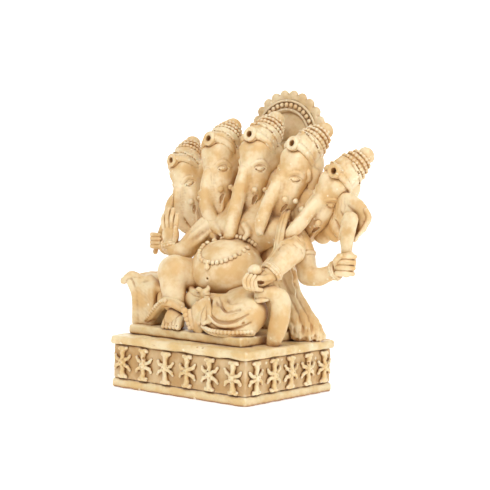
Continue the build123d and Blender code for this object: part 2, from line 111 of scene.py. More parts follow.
def rod(start, end, start_radius, end_radius, thin=None):
    """A tapered rod with round ends; thin = (direction, factor) flattens it along a direction."""
    start, end = np.asarray(start, float), np.asarray(end, float)
    along = end - start
    length2 = max(float(along @ along), 1e-9)
    radius = max(start_radius, end_radius)

    def distance(x, y, z):
        x, y, z = x - start[0], y - start[1], z - start[2]
        t = np.clip((x * along[0] + y * along[1] + z * along[2]) / length2, 0, 1)
        x, y, z = x - t * along[0], y - t * along[1], z - t * along[2]
        squared = x * x + y * y + z * z
        if thin is not None:
            (nx, ny, nz), factor = unit(thin[0]), thin[1]
            squared = squared + (factor ** 2 - 1) * (x * nx + y * ny + z * nz) ** 2
        return np.sqrt(squared) - (start_radius + (end_radius - start_radius) * t)
    return Shape(np.minimum(start, end) - radius, np.maximum(start, end) + radius, distance)


def curve_points(stations, steps=4):
    """Catmull-Rom points through the stations; each station is a tuple of numbers of any length."""
    stations = np.asarray(stations, float)
    padded = np.vstack([2 * stations[0] - stations[1], stations, 2 * stations[-1] - stations[-2]])
    points = []
    for i in range(1, len(padded) - 2):
        a, b, c, d = padded[i - 1:i + 3]
        for step in range(steps):
            t = step / steps
            points.append(0.5 * (2 * b + (c - a) * t + (2 * a - 5 * b + 4 * c - d) * t ** 2
                                 + (3 * b - a - 3 * c + d) * t ** 3))
    points.append(stations[-1])
    return np.array(points)


def path(stations, thin=None, steps=4):
    """A limb, roll or fold: rods along a smooth curve through stations (x, y, z, radius)."""
    points = curve_points(stations, steps)
    rods = [rod(a[:3], b[:3], max(a[3], 0.05), max(b[3], 0.05), thin) for a,
            b in zip(points[:-1], points[1:])]

    def distance(x, y, z):
        nearest = rods[0].distance(x, y, z)
        for piece in rods[1:]:
            nearest = np.minimum(nearest, piece.distance(x, y, z))
        return nearest
    return Shape(np.min([r.low for r in rods], 0), np.max([r.high for r in rods], 0), distance)


def block(centre, half, rounding=0.5, axes=None):
    """A box with rounded edges."""
    axes = np.eye(3) if axes is None else axes
    reach = np.abs(axes) @ np.asarray(half, float)

    def distance(x, y, z):
        x, y, z = x - centre[0], y - centre[1], z - centre[2]
        gaps = [np.abs(axes[0, i] * x + axes[1, i] * y + axes[2,
                                                              i] * z) - half[i] + rounding for i in range(3)]
        outside = np.sqrt(sum(np.maximum(gap, 0) ** 2 for gap in gaps))
        return outside + np.minimum(np.maximum(np.maximum(gaps[0], gaps[1]), gaps[2]), 0) - rounding
    return Shape(np.subtract(centre, reach), np.add(centre, reach), distance)


def ring(centre, normal, radius, thickness, flat=1.0):
    """A torus about normal; flat above 1 makes its section thinner along the normal."""
    normal = unit(normal)
    reach = (radius + thickness) * np.sqrt(1 - normal ** 2) + thickness * np.abs(normal)

    def distance(x, y, z):
        x, y, z = x - centre[0], y - centre[1], z - centre[2]
        along = x * normal[0] + y * normal[1] + z * normal[2]
        across = np.sqrt(np.maximum(x * x + y * y + z * z - along ** 2, 0))
        return np.sqrt((across - radius) ** 2 + (along * flat) ** 2) - thickness
    return Shape(np.subtract(centre, reach), np.add(centre, reach), distance)


def turned(profile, low=None):
    """A shape turned about the Z axis: profile is a list of (height, radius), from the bottom up."""
    heights, radii = np.array(profile, float).T
    widest = radii.max()

    def distance(x, y, z):
        across = np.sqrt(x * x + y * y)
        side = (across - np.interp(z, heights, radii)) * 0.8
        return np.maximum(side, np.maximum(heights[0] - z, z - heights[-1]))
    return Shape((-widest, -widest, heights[0]), (widest, widest, heights[-1]), distance)


class Clay:
    """A block of signed distances on a regular grid, negative inside the material."""

    def __init__(self, low, high, voxel=0.33):
        self.low, self.voxel = np.asarray(low, float), voxel
        counts = np.ceil((np.asarray(high, float) - self.low) / voxel).astype(int) + 1
        self.field = np.full(counts, 9.0, np.float32)

    def window(self, shape, margin):
        """The slices of the grid that a shape can change, and their coordinates."""
        first = np.floor((shape.low - margin - self.low) / self.voxel).astype(int)
        last = np.ceil((shape.high + margin - self.low) / self.voxel).astype(int) + 1
        first, last = np.maximum(first, 0), np.minimum(last, self.field.shape)
        if (last <= first).any():
            return None, None
        lines = [(self.low[i] + self.voxel * np.arange(first[i],
                                                       last[i])).astype(np.float32) for i in range(3)]
        return tuple(slice(a, b) for a, b in zip(first, last)), np.meshgrid(*lines, indexing="ij",
                                                                            sparse=True)

    def add(self, shape, blend=0.0):
        where, coordinates = self.window(shape, 3 * self.voxel + blend)
        if where is not None:
            self.field[where] = smooth_min(self.field[where], shape.distance(*coordinates), blend)
        return self

    def cut(self, shape, blend=0.0):
        where, coordinates = self.window(shape, 3 * self.voxel + blend)
        if where is not None:
            self.field[where] = -smooth_min(-self.field[where], shape.distance(*coordinates), blend)
        return self

    def ripple(self, height, waves, shape=None):
        """Moves the surface in and out by a function of place, everywhere or inside a shape's box."""
        area = shape or Shape(self.low, self.low + self.voxel * np.array(self.field.shape), None)
        where, coordinates = self.window(area, 0)
        self.field[where] += (height * waves(*coordinates)).astype(np.float32)
        return self

    def surface(self, start, inward, reach=30.0):
        """The first point of the material along a line."""
        start, inward = np.asarray(start, float), unit(inward)
        for step in np.arange(0, reach, self.voxel * 0.5):
            place = start + inward * step
            index = np.round((place - self.low) / self.voxel).astype(int)
            if (index < 0).any() or (index >= self.field.shape).any():
                continue
            if self.field[tuple(index)] < 0:
                return place
        return start

    def skin(self):
        """Vertices and quads of the surface, by surface nets."""
        field = self.field
        inside = field < 0
        corners = [(i, j, k) for i in (0, 1) for j in (0, 1) for k in (0, 1)]
        size = np.array(field.shape) - 1
        held = sum(inside[i:i + size[0], j:j + size[1], k:k + size[2]].astype(np.int8) for i, j,
                   k in corners)
        cells = np.argwhere((held > 0) & (held < 8))
        values = np.stack([field[tuple((cells + corner).T)] for corner in corners], 1)
        total, crossings = np.zeros((len(cells), 3)), np.zeros(len(cells))
        for a in range(8):
            for axis in range(3):
                if corners[a][axis]:
                    continue
                b = a + (4, 2, 1)[axis]
                va, vb = values[:, a], values[:, b]
                crossed = (va < 0) != (vb < 0)
                share = np.where(crossed, va / np.where(crossed, va - vb, 1), 0)
                point = np.tile(np.array(corners[a], float), (len(cells), 1))
                point[:, axis] = share
                total += point * crossed[:, None]
                crossings += crossed
        vertices = self.low + self.voxel * (cells + total / crossings[:, None])
        number = np.full(size, -1, np.int64)
        number[tuple(cells.T)] = np.arange(len(cells))
        quads = []
        for axis in range(3):
            u, v = (axis + 1) % 3, (axis + 2) % 3
            here = tuple(slice(0, -1) if i == axis else slice(None) for i in range(3))
            there = tuple(slice(1, None) if i == axis else slice(None) for i in range(3))
            edges = np.argwhere(inside[here] != inside[there])
            edges = edges[(edges[:, u] > 0) & (edges[:, v] > 0)
                          & (edges[:, u] < field.shape[u] - 1) & (edges[:, v] < field.shape[v] - 1)]
            outward = inside[tuple(edges.T)]
            loop = []
            for du, dv in ((-1, -1), (0, -1), (0, 0), (-1, 0)):
                cell = edges.copy()
                cell[:, u] += du
                cell[:, v] += dv
                loop.append(number[tuple(cell.T)])
            loop = np.stack(loop, 1)
            quads.append(np.where(outward[:, None], loop, loop[:, ::-1]))
        return vertices, np.vstack(quads)


def hand_made(x, y, z):
    """The slight unevenness of a hand-finished casting."""
    return (np.sin(x * 0.83 + 1.1) * np.sin(y * 0.71 + z * 0.37) + 0.6 * np.sin(z * 1.31 + x * 0.9) * np.sin(y * 1.7 + 0.4)
            + 0.3 * np.sin(x * 3.1 + z * 2.3) * np.sin(y * 2.9 - z * 1.9 + 2.0))


# ---------------------------------------------------------------- pieces

def make_piece(name, parts, nodes, material):
    """One object from a list of (vertices, quads) in millimetres, standing for CAD nodes."""
    vertices, quads, offset = [], [], 0
    for part_vertices, part_quads in parts:
        vertices.append(part_vertices)
        quads.append(part_quads + offset)
        offset += len(part_vertices)
    vertices, quads = np.vstack(vertices) * MM, np.vstack(quads)
    mesh = bpy.data.meshes.new(name)
    mesh.vertices.add(len(vertices))
    mesh.vertices.foreach_set("co", vertices.astype(np.float32).ravel())
    mesh.loops.add(quads.size)
    mesh.loops.foreach_set("vertex_index", quads.astype(np.int32).ravel())
    mesh.polygons.add(len(quads))
    mesh.polygons.foreach_set("loop_start", np.arange(0, quads.size, 4, dtype=np.int32))
    mesh.polygons.foreach_set("loop_total", np.full(len(quads), 4, np.int32))
    mesh.polygons.foreach_set("use_smooth", np.ones(len(quads), bool))
    mesh.update(calc_edges=True)
    mesh.validate()
    mesh.materials.append(material)
    piece = bpy.data.objects.new(name, mesh)
    bpy.context.scene.collection.objects.link(piece)
    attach(piece, BODY)
    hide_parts(*nodes)
    return piece


def box_mm(node):
    low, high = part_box(node)
    return np.array(low) / MM, np.array(high) / MM


# ---------------------------------------------------------------- materials

def resin(name, cream, tan, stain_and_shade, stain_and_shade_reach=0.0045, dust=0.25, gloss=0.44):
    """Ivory-coloured casting resin: cream and tan mottling; brown stain in the hollows, partly a real wash and partly
    painted shade; pale edges, partly rubbed wear and partly painted highlight; grey dust.
    """
    material = bpy.data.materials.new(name)
    material.use_nodes = True
    nodes, links = material.node_tree.nodes, material.node_tree.links
    shader = nodes["Principled BSDF"]
    place = nodes.new("ShaderNodeTexCoord").outputs["Object"]

    def noise(scale, detail, roughness=0.55):
        node = nodes.new("ShaderNodeTexNoise")
        links.new(place, node.inputs["Vector"])
        node.inputs["Scale"].default_value = scale
        node.inputs["Detail"].default_value = detail
        node.inputs["Roughness"].default_value = roughness
        return node.outputs["Fac"]

    def ramp(value, low, high, low_value=0.0, high_value=1.0):
        node = nodes.new("ShaderNodeMapRange")
        node.interpolation_type = "SMOOTHSTEP"
        links.new(value, node.inputs["Value"])
        node.inputs["From Min"].default_value = low
        node.inputs["From Max"].default_value = high
        node.inputs["To Min"].default_value = low_value
        node.inputs["To Max"].default_value = high_value
        return node.outputs["Result"]

    def times(a, b):
        node = nodes.new("ShaderNodeMath")
        node.operation = "MULTIPLY"
        for socket, value in zip(node.inputs, (a, b)):
            if isinstance(value, (int, float)):
                socket.default_value = value
            else:
                links.new(value, socket)
        return node.outputs["Value"]

    def mix(factor, a, b):
        node = nodes.new("ShaderNodeMix")
        node.data_type = "RGBA"
        links.new(factor, node.inputs["Factor"])
        for socket, value in ((node.inputs[6], a), (node.inputs[7], b)):
            if isinstance(value, tuple):
                socket.default_value = (*value, 1)
            else:
                links.new(value, socket)
        return node.outputs[2]

    def hollow(distance):
        node = nodes.new("ShaderNodeAmbientOcclusion")
        node.samples = 12
        node.inputs["Distance"].default_value = distance
        return node.outputs["AO"]

    geometry = nodes.new("ShaderNodeNewGeometry")
    pointed = geometry.outputs["Pointiness"]
    wide, tight = hollow(stain_and_shade_reach), hollow(stain_and_shade_reach * 0.3)
    patches, specks, grain = noise(110, 4), noise(420, 3), noise(2300, 3)
    colour = mix(ramp(patches, 0.36, 0.64), cream, tan)
    colour = mix(times(ramp(specks, 0.55, 0.78), 0.35), colour, (0.63, 0.42, 0.17))
    # Painted shade, partly a real brown wash: tan, then the stain colour, then a darker stain darken the hollows where
    # ambient occlusion finds them
    colour = mix(times(ramp(wide, 0.88, 0.42), 0.85), colour, tan)
    colour = mix(times(ramp(wide, 0.68, 0.24), 0.85), colour, stain_and_shade)
    colour = mix(times(ramp(tight, 0.66, 0.28), 0.62), colour, tuple(0.8 * c for c in stain_and_shade))
    # Painted shade, partly real stain: concave creases (low pointiness) are darkened towards the stain colour
    colour = mix(times(ramp(pointed, 0.503, 0.47), 0.55), colour, stain_and_shade)
    # Painted highlight, partly rubbed wear: convex edges (high pointiness) are lightened towards pale cream
    colour = mix(times(ramp(pointed, 0.515, 0.58), 0.75), colour, (0.90, 0.80, 0.60))
    upward = nodes.new("ShaderNodeSeparateXYZ")
    links.new(geometry.outputs["Normal"], upward.inputs[0])
    dusty = times(times(ramp(upward.outputs["Z"], 0.35, 0.95), ramp(wide, 1.0, 0.55)),
                  ramp(patches, 0.30, 0.62))
    colour = mix(times(dusty, dust), colour, (0.40, 0.31, 0.27))
    links.new(colour, shader.inputs["Base Color"])
    links.new(ramp(patches, 0.3, 0.7, gloss - 0.06, gloss + 0.10), shader.inputs["Roughness"])
    shader.inputs["Subsurface Weight"].default_value = 0.12
    shader.inputs["Subsurface Radius"].default_value = (1.0, 0.55, 0.25)
    shader.inputs["Subsurface Scale"].default_value = 0.0012
    shader.inputs["IOR"].default_value = 1.5
    bumps = nodes.new("ShaderNodeBump")
    bumps.inputs["Strength"].default_value = 0.16
    bumps.inputs["Distance"].default_value = 0.00025
    links.new(grain, bumps.inputs["Height"])
    dents = nodes.new("ShaderNodeBump")
    dents.inputs["Strength"].default_value = 0.35
    dents.inputs["Distance"].default_value = 0.0006
    links.new(specks, dents.inputs["Height"])
    links.new(bumps.outputs["Normal"], dents.inputs["Normal"])
    links.new(dents.outputs["Normal"], shader.inputs["Normal"])
    return material


# The third colour darkens the hollows: partly a real brown wash, partly painted shade
CREAM, TAN, STAIN_AND_SHADE = (0.84, 0.675, 0.42), (0.69, 0.445, 0.19), (0.36, 0.15, 0.04)
skin_resin = resin("resin_skin", CREAM, TAN, STAIN_AND_SHADE)
cloth_resin = resin("resin_cloth", (0.79, 0.64, 0.39), TAN, STAIN_AND_SHADE, dust=0.4, gloss=0.5)
ornament_resin = resin("resin_ornament", (0.84, 0.70, 0.45), TAN, STAIN_AND_SHADE, stain_and_shade_reach=0.003)
halo_resin = resin("resin_halo", (0.76, 0.60, 0.37), (0.62, 0.43, 0.21), STAIN_AND_SHADE, stain_and_shade_reach=0.0028)
dado_resin = resin("resin_dado", (0.65, 0.46, 0.24), (0.52, 0.31, 0.12), STAIN_AND_SHADE, stain_and_shade_reach=0.005, dust=0.1)
plinth_resin = resin("resin_plinth", (0.82, 0.68, 0.42), (0.72, 0.50, 0.22), STAIN_AND_SHADE, stain_and_shade_reach=0.0052,
                     dust=0.6)


# ---------------------------------------------------------------- plinth and seat

def course(node, rounding, voxel=0.5):
    """A slab of the plinth, in its CAD box, with softened edges."""
    low, high = box_mm(node)
    clay = Clay(low - 1.5, high + 1.5, voxel)
    clay.add(block((low + high) / 2, (high - low) / 2, rounding))
    return clay


def pits(clay, places, radius):
    for place in places:
        clay.cut(ball(place, radius), 0.15)


cornice_low, cornice_high = box_mm("plinth_cornice")
dado_low, dado_high = box_mm("plinth_dado")
foot = course("plinth_foot", 1.1, 0.42)
foot.ripple(0.12, hand_made)
make_piece("cast_plinth_foot", [foot.skin()], ["plinth_foot"], plinth_resin)
dado = course("plinth_dado", 0.9, 0.45)
dado.ripple(0.10, hand_made)
make_piece("cast_plinth_dado", [dado.skin()], ["plinth_dado"], dado_resin)
cornice = course("plinth_cornice", 1.2, 0.42)
cornice.ripple(0.16, lambda x, y,
               z: hand_made(x * 0.6, y * 0.6, z) + 0.8 * np.sin(x * 0.24 + 1) * (z < cornice_low[2] + 1.4))
pits(cornice, [(11.0, cornice_low[1] + 0.4, cornice_high[2] - 0.2),
               (13.8, cornice_low[1] + 0.6, cornice_high[2] - 0.2)], 0.7)
make_piece("cast_plinth_cornice", [cornice.skin()], ["plinth_cornice"], plinth_resin)

board_low, board_high = box_mm("seat_board")
board = course("seat_board", 0.9, 0.42)
board.ripple(0.13, hand_made)
make_piece("cast_seat_board", [board.skin()], ["seat_board"], plinth_resin)


def rosette(seed):
    """One star of the frieze, facing -Y with its back at y = 0: an upright bow tie, four curved arms and a boss."""
    clay = Clay((-6.4, -3.4, -7.8), (6.4, 1.0, 7.8), 0.29)
    sway = 0.3 * sin(seed * 2.3)
    for end in (-1, 1):
        tip = 5.9 * end
        clay.add(path([(0, -0.7, 0.4 * end, 1.2), (sway * 0.4, -0.8, 2.8 * end, 0.95),
                       (sway, -0.7, tip * 0.84, 1.3)],
                      thin=((0, 1, 0), 0.9)), 0.3)
        clay.add(rod((-1.7 + sway, -0.7, tip), (1.7 + sway, -0.7, tip), 0.9, 0.9), 0.5)
        for side in (-1, 1):
            lift = 0.35 * sin(seed * 1.7 + side)
            clay.add(path([(0.4 * side, -0.8, 0.3 * end, 0.95), (1.9 * side, -0.9, (1.1 + lift) * end, 0.8),
                           (3.1 * side, -0.8, (1.5 + lift) * end, 0.78),
                           (4.0 * side, -0.6, (2.8 + lift) * end, 0.6)]), 0.25)
    clay.add(ball((0, -1.5, 0), 1.3), 0.3)
    clay.cut(ball((0, -2.9, 0), 0.5), 0.2)
    clay.cut(ball((1.9 * sin(seed), -1.4, 2.2 + cos(seed * 3)), 0.55), 0.2)
    clay.ripple(0.14, lambda x, y, z: np.sin(x * 2.1 + seed) * np.sin(z * 2.4 + 2 * seed))
    return clay.skin()


def frieze(node, count, outward):
    """A row of rosettes along one face of the dado."""
    outward = np.asarray(outward, float)
    along = np.array([-outward[1], outward[0], 0.0])
    low, high = box_mm(node)
    middle = (low + high) / 2
    middle = np.where(np.abs(outward) > 0, np.where(outward > 0, dado_high, dado_low), middle)
    middle[2] = (dado_low[2] + dado_high[2]) / 2
    run = abs((dado_high - dado_low) @ along)
    stars = []
    for index in range(count):
        vertices, quads = rosette(index + 3 * outward[0] + 7 * outward[1])
        place = middle + along * run * ((index + 0.5) / count - 0.5)
        stars.append((place + np.outer(vertices[:, 0], along) - np.outer(vertices[:, 1], outward)
                      + np.outer(vertices[:, 2], (0, 0, 1)), quads))
    make_piece("cast_" + node, stars, [node], plinth_resin)


frieze("rosettes_front", 6, (0, -1, 0))
frieze("rosettes_back", 6, (0, 1, 0))
frieze("rosettes_left", 5, (1, 0, 0))
frieze("rosettes_right", 5, (-1, 0, 0))


# ---------------------------------------------------------------- heads

# Root of the trunk, roll, turn, nod and scale of each head, from the viewer's left
HEADS = [
    (-36.3, 9.5, 82.5, -22.0, -8.0, 9.0, 0.89),
    (-18.6, 8.9, 90.9, -12.0, 0.0, -2.0, 0.98),
    (0.0, 10.3, 92.3, 0.0, 0.0, 0.0, 1.0),
    (18.4, 10.8, 89.8, 13.5, -9.0, -1.5, 0.97),
    (35.7, 13.4, 80.6, 31.0, -2.0, 5.5, 0.94),
]
# The trunks' centrelines and radii, from brow to tip
TRUNKS = [
    [(-36.4, 11.6, 82.7, 1.9), (-37.2, 11.5, 77.6, 2.4), (-36.8, 12.4, 72.2, 2.7), (-35.4, 14.0, 67.6, 2.6),
     (-32.8, 15.6, 65.6, 2.2), (-29.9, 17.0, 66.6, 1.9), (-27.7, 18.0, 69.0, 1.5)],
    [(-18.8, 10.8, 91.2, 1.7), (-18.9, 9.6, 85.1, 2.3), (-18.1, 8.8, 78.4, 2.9), (-16.5, 8.7, 73.9, 3.1),
     (-14.0, 9.4, 70.6, 2.8), (-11.0, 11.6, 69.8, 1.9)],
    [(0.0, 12.0, 92.3, 1.9), (0.0, 9.5, 85.7, 2.4), (-0.1, 7.6, 79.2, 2.8), (-0.2, 6.0, 74.0, 3.1),
     (-0.2, 4.4, 68.9, 3.1), (-0.3, 3.6, 65.8, 2.7), (-0.6, 3.2, 63.6, 1.6)],
    [(18.2, 12.6, 89.6, 1.8), (16.9, 10.0, 83.7, 2.2), (15.7, 8.2, 78.9, 2.6), (14.9, 6.8, 74.7, 2.8),
     (14.4, 5.6, 70.5, 2.6), (14.4, 5.2, 67.6, 1.8)],
    [(36.0, 15.4, 80.8, 1.6), (33.7, 12.5, 76.2, 2.2), (31.9, 10.3, 72.3, 2.7),
     (29.6, 7.9, 68.5, 2.8), (27.4, 6.5, 65.2, 2.1)],
]
FACE_LEAN = -19.0
CROWN_LEAN = -47.0
CROWN_BASE = np.array([0.0, 13.3, 13.6])
KNOB_CENTRE, KNOB_OUT = np.array([0.0, 4.7, 16.2]), np.array([0.0, -0.97, 0.24])


class HeadFrame:
    """A head's own millimetres: X to its side, Y to its back, Z to its top, from the root of the trunk."""

    def __init__(self, x, y, z, roll, yaw, nod, scale):
        self.origin, self.scale = np.array([x, y, z]), scale
        self.axes = turn("Z", yaw) @ turn("Y", roll) @ turn("X", nod)

    def out(self, points):
        return self.origin + self.scale * np.asarray(points) @ self.axes.T

    def into(self, points):
        return (np.asarray(points, float) - self.origin) @ self.axes / self.scale


def sculpt_eye(clay, side):
    """Socket, eyeball, pupil, lids and brow line, settled on the face."""
    eye = clay.surface((side * 11, 0.4, 1.6), (-side * 0.72, 0.69, 0.0))
    axes = facing((side * 0.80, -0.60, 0.08))
    across, up, out = axes[:, 0], axes[:, 1], axes[:, 2]
    clay.cut(egg(eye + 0.4 * out, (2.9, 1.8, 1.7), axes), 0.5)
    clay.add(egg(eye - 0.75 * out, (1.8, 1.05, 1.3), axes), 0.08)
    clay.cut(ring(eye + 0.45 * out, out, 0.72, 0.22), 0.06)

    def line(points, radius, blend, proud=0.0):
        stations = []
        for a, b, thickness in points:
            start = eye + across * a + up * b + out * 4
            stations.append((*(clay.surface(start, -out, 8) + proud * out), radius * thickness))
        clay.add(path(stations, steps=3), blend)
    line([(-2.7, -0.5, 0.6), (-1.5, 0.8, 1), (0.1, 1.35, 1.15), (1.7, 0.8, 1), (3.0, -0.3, 0.6)], 0.42,
         0.15, 0.15)
    line([(-2.4, -0.6, 0.6), (-1.0, -1.3, 1), (0.8, -1.35, 1), (2.7, -0.5, 0.6)], 0.34, 0.15, 0.1)
    line([(-3.4, 1.5, 0.5), (-1.2, 2.9, 1), (1.2, 3.0, 1), (3.6, 1.1, 0.5)], 0.5, 0.8)


def sculpt_mouth(clay, side):
    """The open corner of the mouth beside the trunk, with its lower lip."""
    def settled(x, z, radius, depth=0.0):
        place = clay.surface((x, -12, z), (0, 1, 0))
        return (*(place + (0, depth, 0)), radius)
    clay.add(path([settled(side * 4.9, -12.0, 0.5), settled(side * 4.1, -14.6, 0.65),
                   settled(side * 3.1, -17.4, 0.55)]), 0.8)
    clay.cut(path([settled(side * 5.5, -10.3, 0.75, 0.1), settled(side * 4.7, -11.6, 0.85, 0.3),
                   settled(side * 3.7, -13.6, 0.35, 0.1)]), 0.15)


tusk_places = []


def sculpt_head(number):
    """A face with its trunk, in the head's own frame."""
    own = HeadFrame(*HEADS[number - 1])
    trunk = [(*own.into(station[:3]), station[3] / own.scale) for station in TRUNKS[number - 1]]
    places = np.array([station[:3] for station in trunk])
    clay = Clay(np.minimum(places.min(0) - 4, (-10, -2, -25)),
                np.maximum(places.max(0) + 4, (10, 24.5, 21)), 0.28)
    clay.add(egg((0, 12.0, 4.5), (7.6, 9.7, 12.6), turn("X", FACE_LEAN)))
    clay.add(egg((0, 16.5, 6.0), (8.5, 6.0, 9.0), turn("X", FACE_LEAN)), 2.0)
    clay.add(egg((0, 9.0, -8.4), (6.2, 7.7, 10.6), turn("X", FACE_LEAN - 3)), 3.0)
    clay.add(egg((0, 7.4, -16.4), (4.1, 4.8, 6.2), turn("X", FACE_LEAN)), 2.4)
    for side in (-1, 1):
        clay.add(egg((side * 3.4, 8.6, 9.5), (3.6, 4.6, 4.4)), 2.0)
        clay.add(egg((side * 3.4, 6.6, -5.0), (3.5, 3.6, 7.0), turn("X", FACE_LEAN)), 3.0)
    rooted = [(x, y, z, radius + extra) for (x, y, z, radius), extra in zip(trunk, (0.8, 0.5, 0.1))]
    clay.add(path(rooted), 2.6)
    for side in (-1, 1):
        sculpt_eye(clay, side)
        sculpt_mouth(clay, side)
        tusk = clay.surface((side * 6.1, -12, -7.7), (-side * 0.07, 1, 0))
        tusk_places.append(own.out([tusk + (side * 0.35, -0.45, 0)])[0])
    clay.add(path(trunk[1:]), 0.7)
    tip, before = places[-1], places[-2]
    forward = unit(tip - before)
    sideways = unit(np.cross(forward, (0, 1, 0.2)))
    for side in (-0.75, 0.75):
        clay.cut(ball(tip + forward * trunk[-1][3] + sideways * side, 0.42), 0.25)
    trunk_shape = Shape(places.min(0) - 4, places.max(0) + 4, None)
    clay.ripple(0.035, lambda x, y, z: np.sin((z + 0.35 * y) * 4.2) * np.clip((-14 - z) / 6, 0,
                                                                              1) * (y < 1.5), trunk_shape)
    clay.ripple(0.06, lambda x, y, z: hand_made(x + 5 * number, y, z))
    vertices, quads = clay.skin()
    return own.out(vertices), quads


def beads_on(clay, count, radius, height, bead, start=0.0, blend=0.12):
    """A ring of beads about the Z axis."""
    for index in range(count):
        angle = 2 * pi * index / count + start
        clay.add(ball((radius * cos(angle), radius * sin(angle), height), bead), blend)


def sculpt_crown(number):
    """A tall cap leaning back: smooth edge, broad pitted band, three rows of beads and a ball on top."""
    own = HeadFrame(*HEADS[number - 1])
    clay = Clay((-10, -10, -6.5), (10, 10, 18.5), 0.29)
    clay.add(turned([(-5.2, 7.2), (-4.7, 8.2), (-3.6, 8.5), (-2.9, 8.1), (-2.4, 7.8), (4.2, 7.2),
                     (4.8, 6.3),
                     (6.8, 6.0), (7.2, 5.5), (9.4, 5.2), (9.8, 4.6), (11.2, 4.1), (11.8, 3.7), (12.6, 3.9),
                     (14.0, 4.0),
                     (15.2, 3.5), (16.2, 2.4), (16.8, 1.2), (17.0, 0.1)]))
    into_crown = turn("X", CROWN_LEAN)
    hole = [(KNOB_CENTRE + reach * KNOB_OUT - CROWN_BASE) @ into_crown for reach in (2.0, -3.6)]
    clay.cut(rod(hole[0], hole[1], 2.3, 2.0), 0.2)
    for index in range(90):
        angle = 2.4 * index + number
        height = -2.0 + 6.2 * ((index * 0.618) % 1.0)
        reach = 7.8 - 0.09 * (height + 2)
        place = (reach * cos(angle), reach * sin(angle), height)
        if index % 3:
            clay.cut(ball(place, 0.36 + 0.24 * ((index * 0.37) % 1.0)), 0.2)
        else:
            clay.add(egg(place, (0.85, 0.85, 0.6)), 0.35)
    for count, radius, height, bead in ((24, 6.6, 5.5, 0.86), (21, 5.85, 8.2, 0.82), (17, 4.9, 10.7, 0.76)):
        clay.cut(ring((0, 0, height + 1.25), (0, 0, 1), radius - 0.1, 0.55), 0.2)
        clay.add(ring((0, 0, height), (0, 0, 1), radius - 0.35, 0.62), 0.2)
        beads_on(clay, count, radius, height, bead)
    clay.ripple(0.09, lambda x, y, z: hand_made(x * 1.2 + 3 * number, y * 1.2, z * 1.2))
    vertices, quads = clay.skin()
    return own.out(CROWN_BASE + vertices @ turn("X", CROWN_LEAN).T), quads


def sculpt_knob(number):
    """The pierced boss on the brow, a thick ring that runs back into the crown."""
    own = HeadFrame(*HEADS[number - 1])
    centre, axes = KNOB_CENTRE, facing(KNOB_OUT)
    out = axes[:, 2]
    clay = Clay(centre - 6.5, centre + (6.5, 11, 6.5), 0.27)
    clay.add(egg(centre - 1.8 * out, (3.2, 3.2, 2.4), axes))
    clay.add(path([(*(centre - 2.4 * out), 3.1), (*(centre - 5.0 * out), 3.3),
                   (*(centre - 8.0 * out), 3.2)]), 1.0)
    clay.add(ring(centre - 0.1 * out, out, 2.35, 0.95), 0.35)
    clay.cut(rod(centre + 2.0 * out, centre - 3.0 * out, 1.5, 1.2), 0.2)
    clay.ripple(0.06, hand_made)
    vertices, quads = clay.skin()
    return own.out(vertices), quads


for number in range(1, 6):
    make_piece(f"face_{number}", [sculpt_head(number)], [f"head_{number}", f"trunk_{number}"], skin_resin)
    make_piece(f"cast_crown_{number}", [sculpt_crown(number)], [f"crown_{number}"], ornament_resin)
make_piece("cast_brow_knobs", [sculpt_knob(number) for number in range(1, 6)], ["brow_knobs"],
           ornament_resin)


def bead_skins(places, radius, voxel=0.22):
    """Separate round beads."""
    clay = Clay((-radius - 0.6,) * 3, (radius + 0.6,) * 3, voxel)
    clay.add(ball((0, 0, 0), radius))
    vertices, quads = clay.skin()
    return [(vertices + np.asarray(place), quads) for place in places]


make_piece("cast_tusks", bead_skins(tusk_places, 1.45), ["tusks"], ornament_resin)
drop_places = [HeadFrame(*head).out([8.7, 5.2, -7.4]) for head in HEADS[:4]]
make_piece("cast_ear_drops", bead_skins(drop_places, 1.15), ["ear_drops"], ornament_resin)


# ---------------------------------------------------------------- body

def cast(name, clay, nodes, material=None):
    """Skins a block of clay as a piece of the idol."""
    return make_piece(name, [clay.skin()], nodes, material or skin_resin)


torso = Clay((-28, -14, 36), (29, 24, 85), 0.38)
torso.add(egg((0, 2.0, 50.4), (17.0, 13.5, 13.2)))
torso.add(egg((0, 14.0, 66), (18, 8.6, 9.5)), 4)
for fold in ([(-15, 8.0, 70, 1.2), (-10, 6.4, 67, 1.1), (-6, 4.4, 65, 0.6)],
             [(-17, 8.5, 66, 1.2), (-11, 6.0, 63.8, 1.1), (-8, 3.6, 62.6, 0.6)],
             [(5, 6.2, 70, 1.0), (8, 5.2, 66.8, 1.3), (7.4, 3.8, 64.6, 1.0)]):
    torso.add(path(fold), 0.9)
torso.add(rod((-17, 13, 68), (19, 13, 68), 5.4, 5.4), 4)
torso.add(egg((0, 18, 75), (23, 5.0, 7.0)), 4)
navel = torso.surface((0, -18, 47.6), (0, 1, 0))
torso.add(ring(navel, (0, -1, -0.25), 1.05, 0.48), 0.5)
torso.cut(rod(navel + (0, -1, 0), navel + (0, 1.4, 0.3), 0.55, 0.4), 0.25)
torso.ripple(0.07, lambda x, y, z: hand_made(x * 0.6, y * 0.6, z * 0.6))
cast("cast_torso", torso, ["torso"])

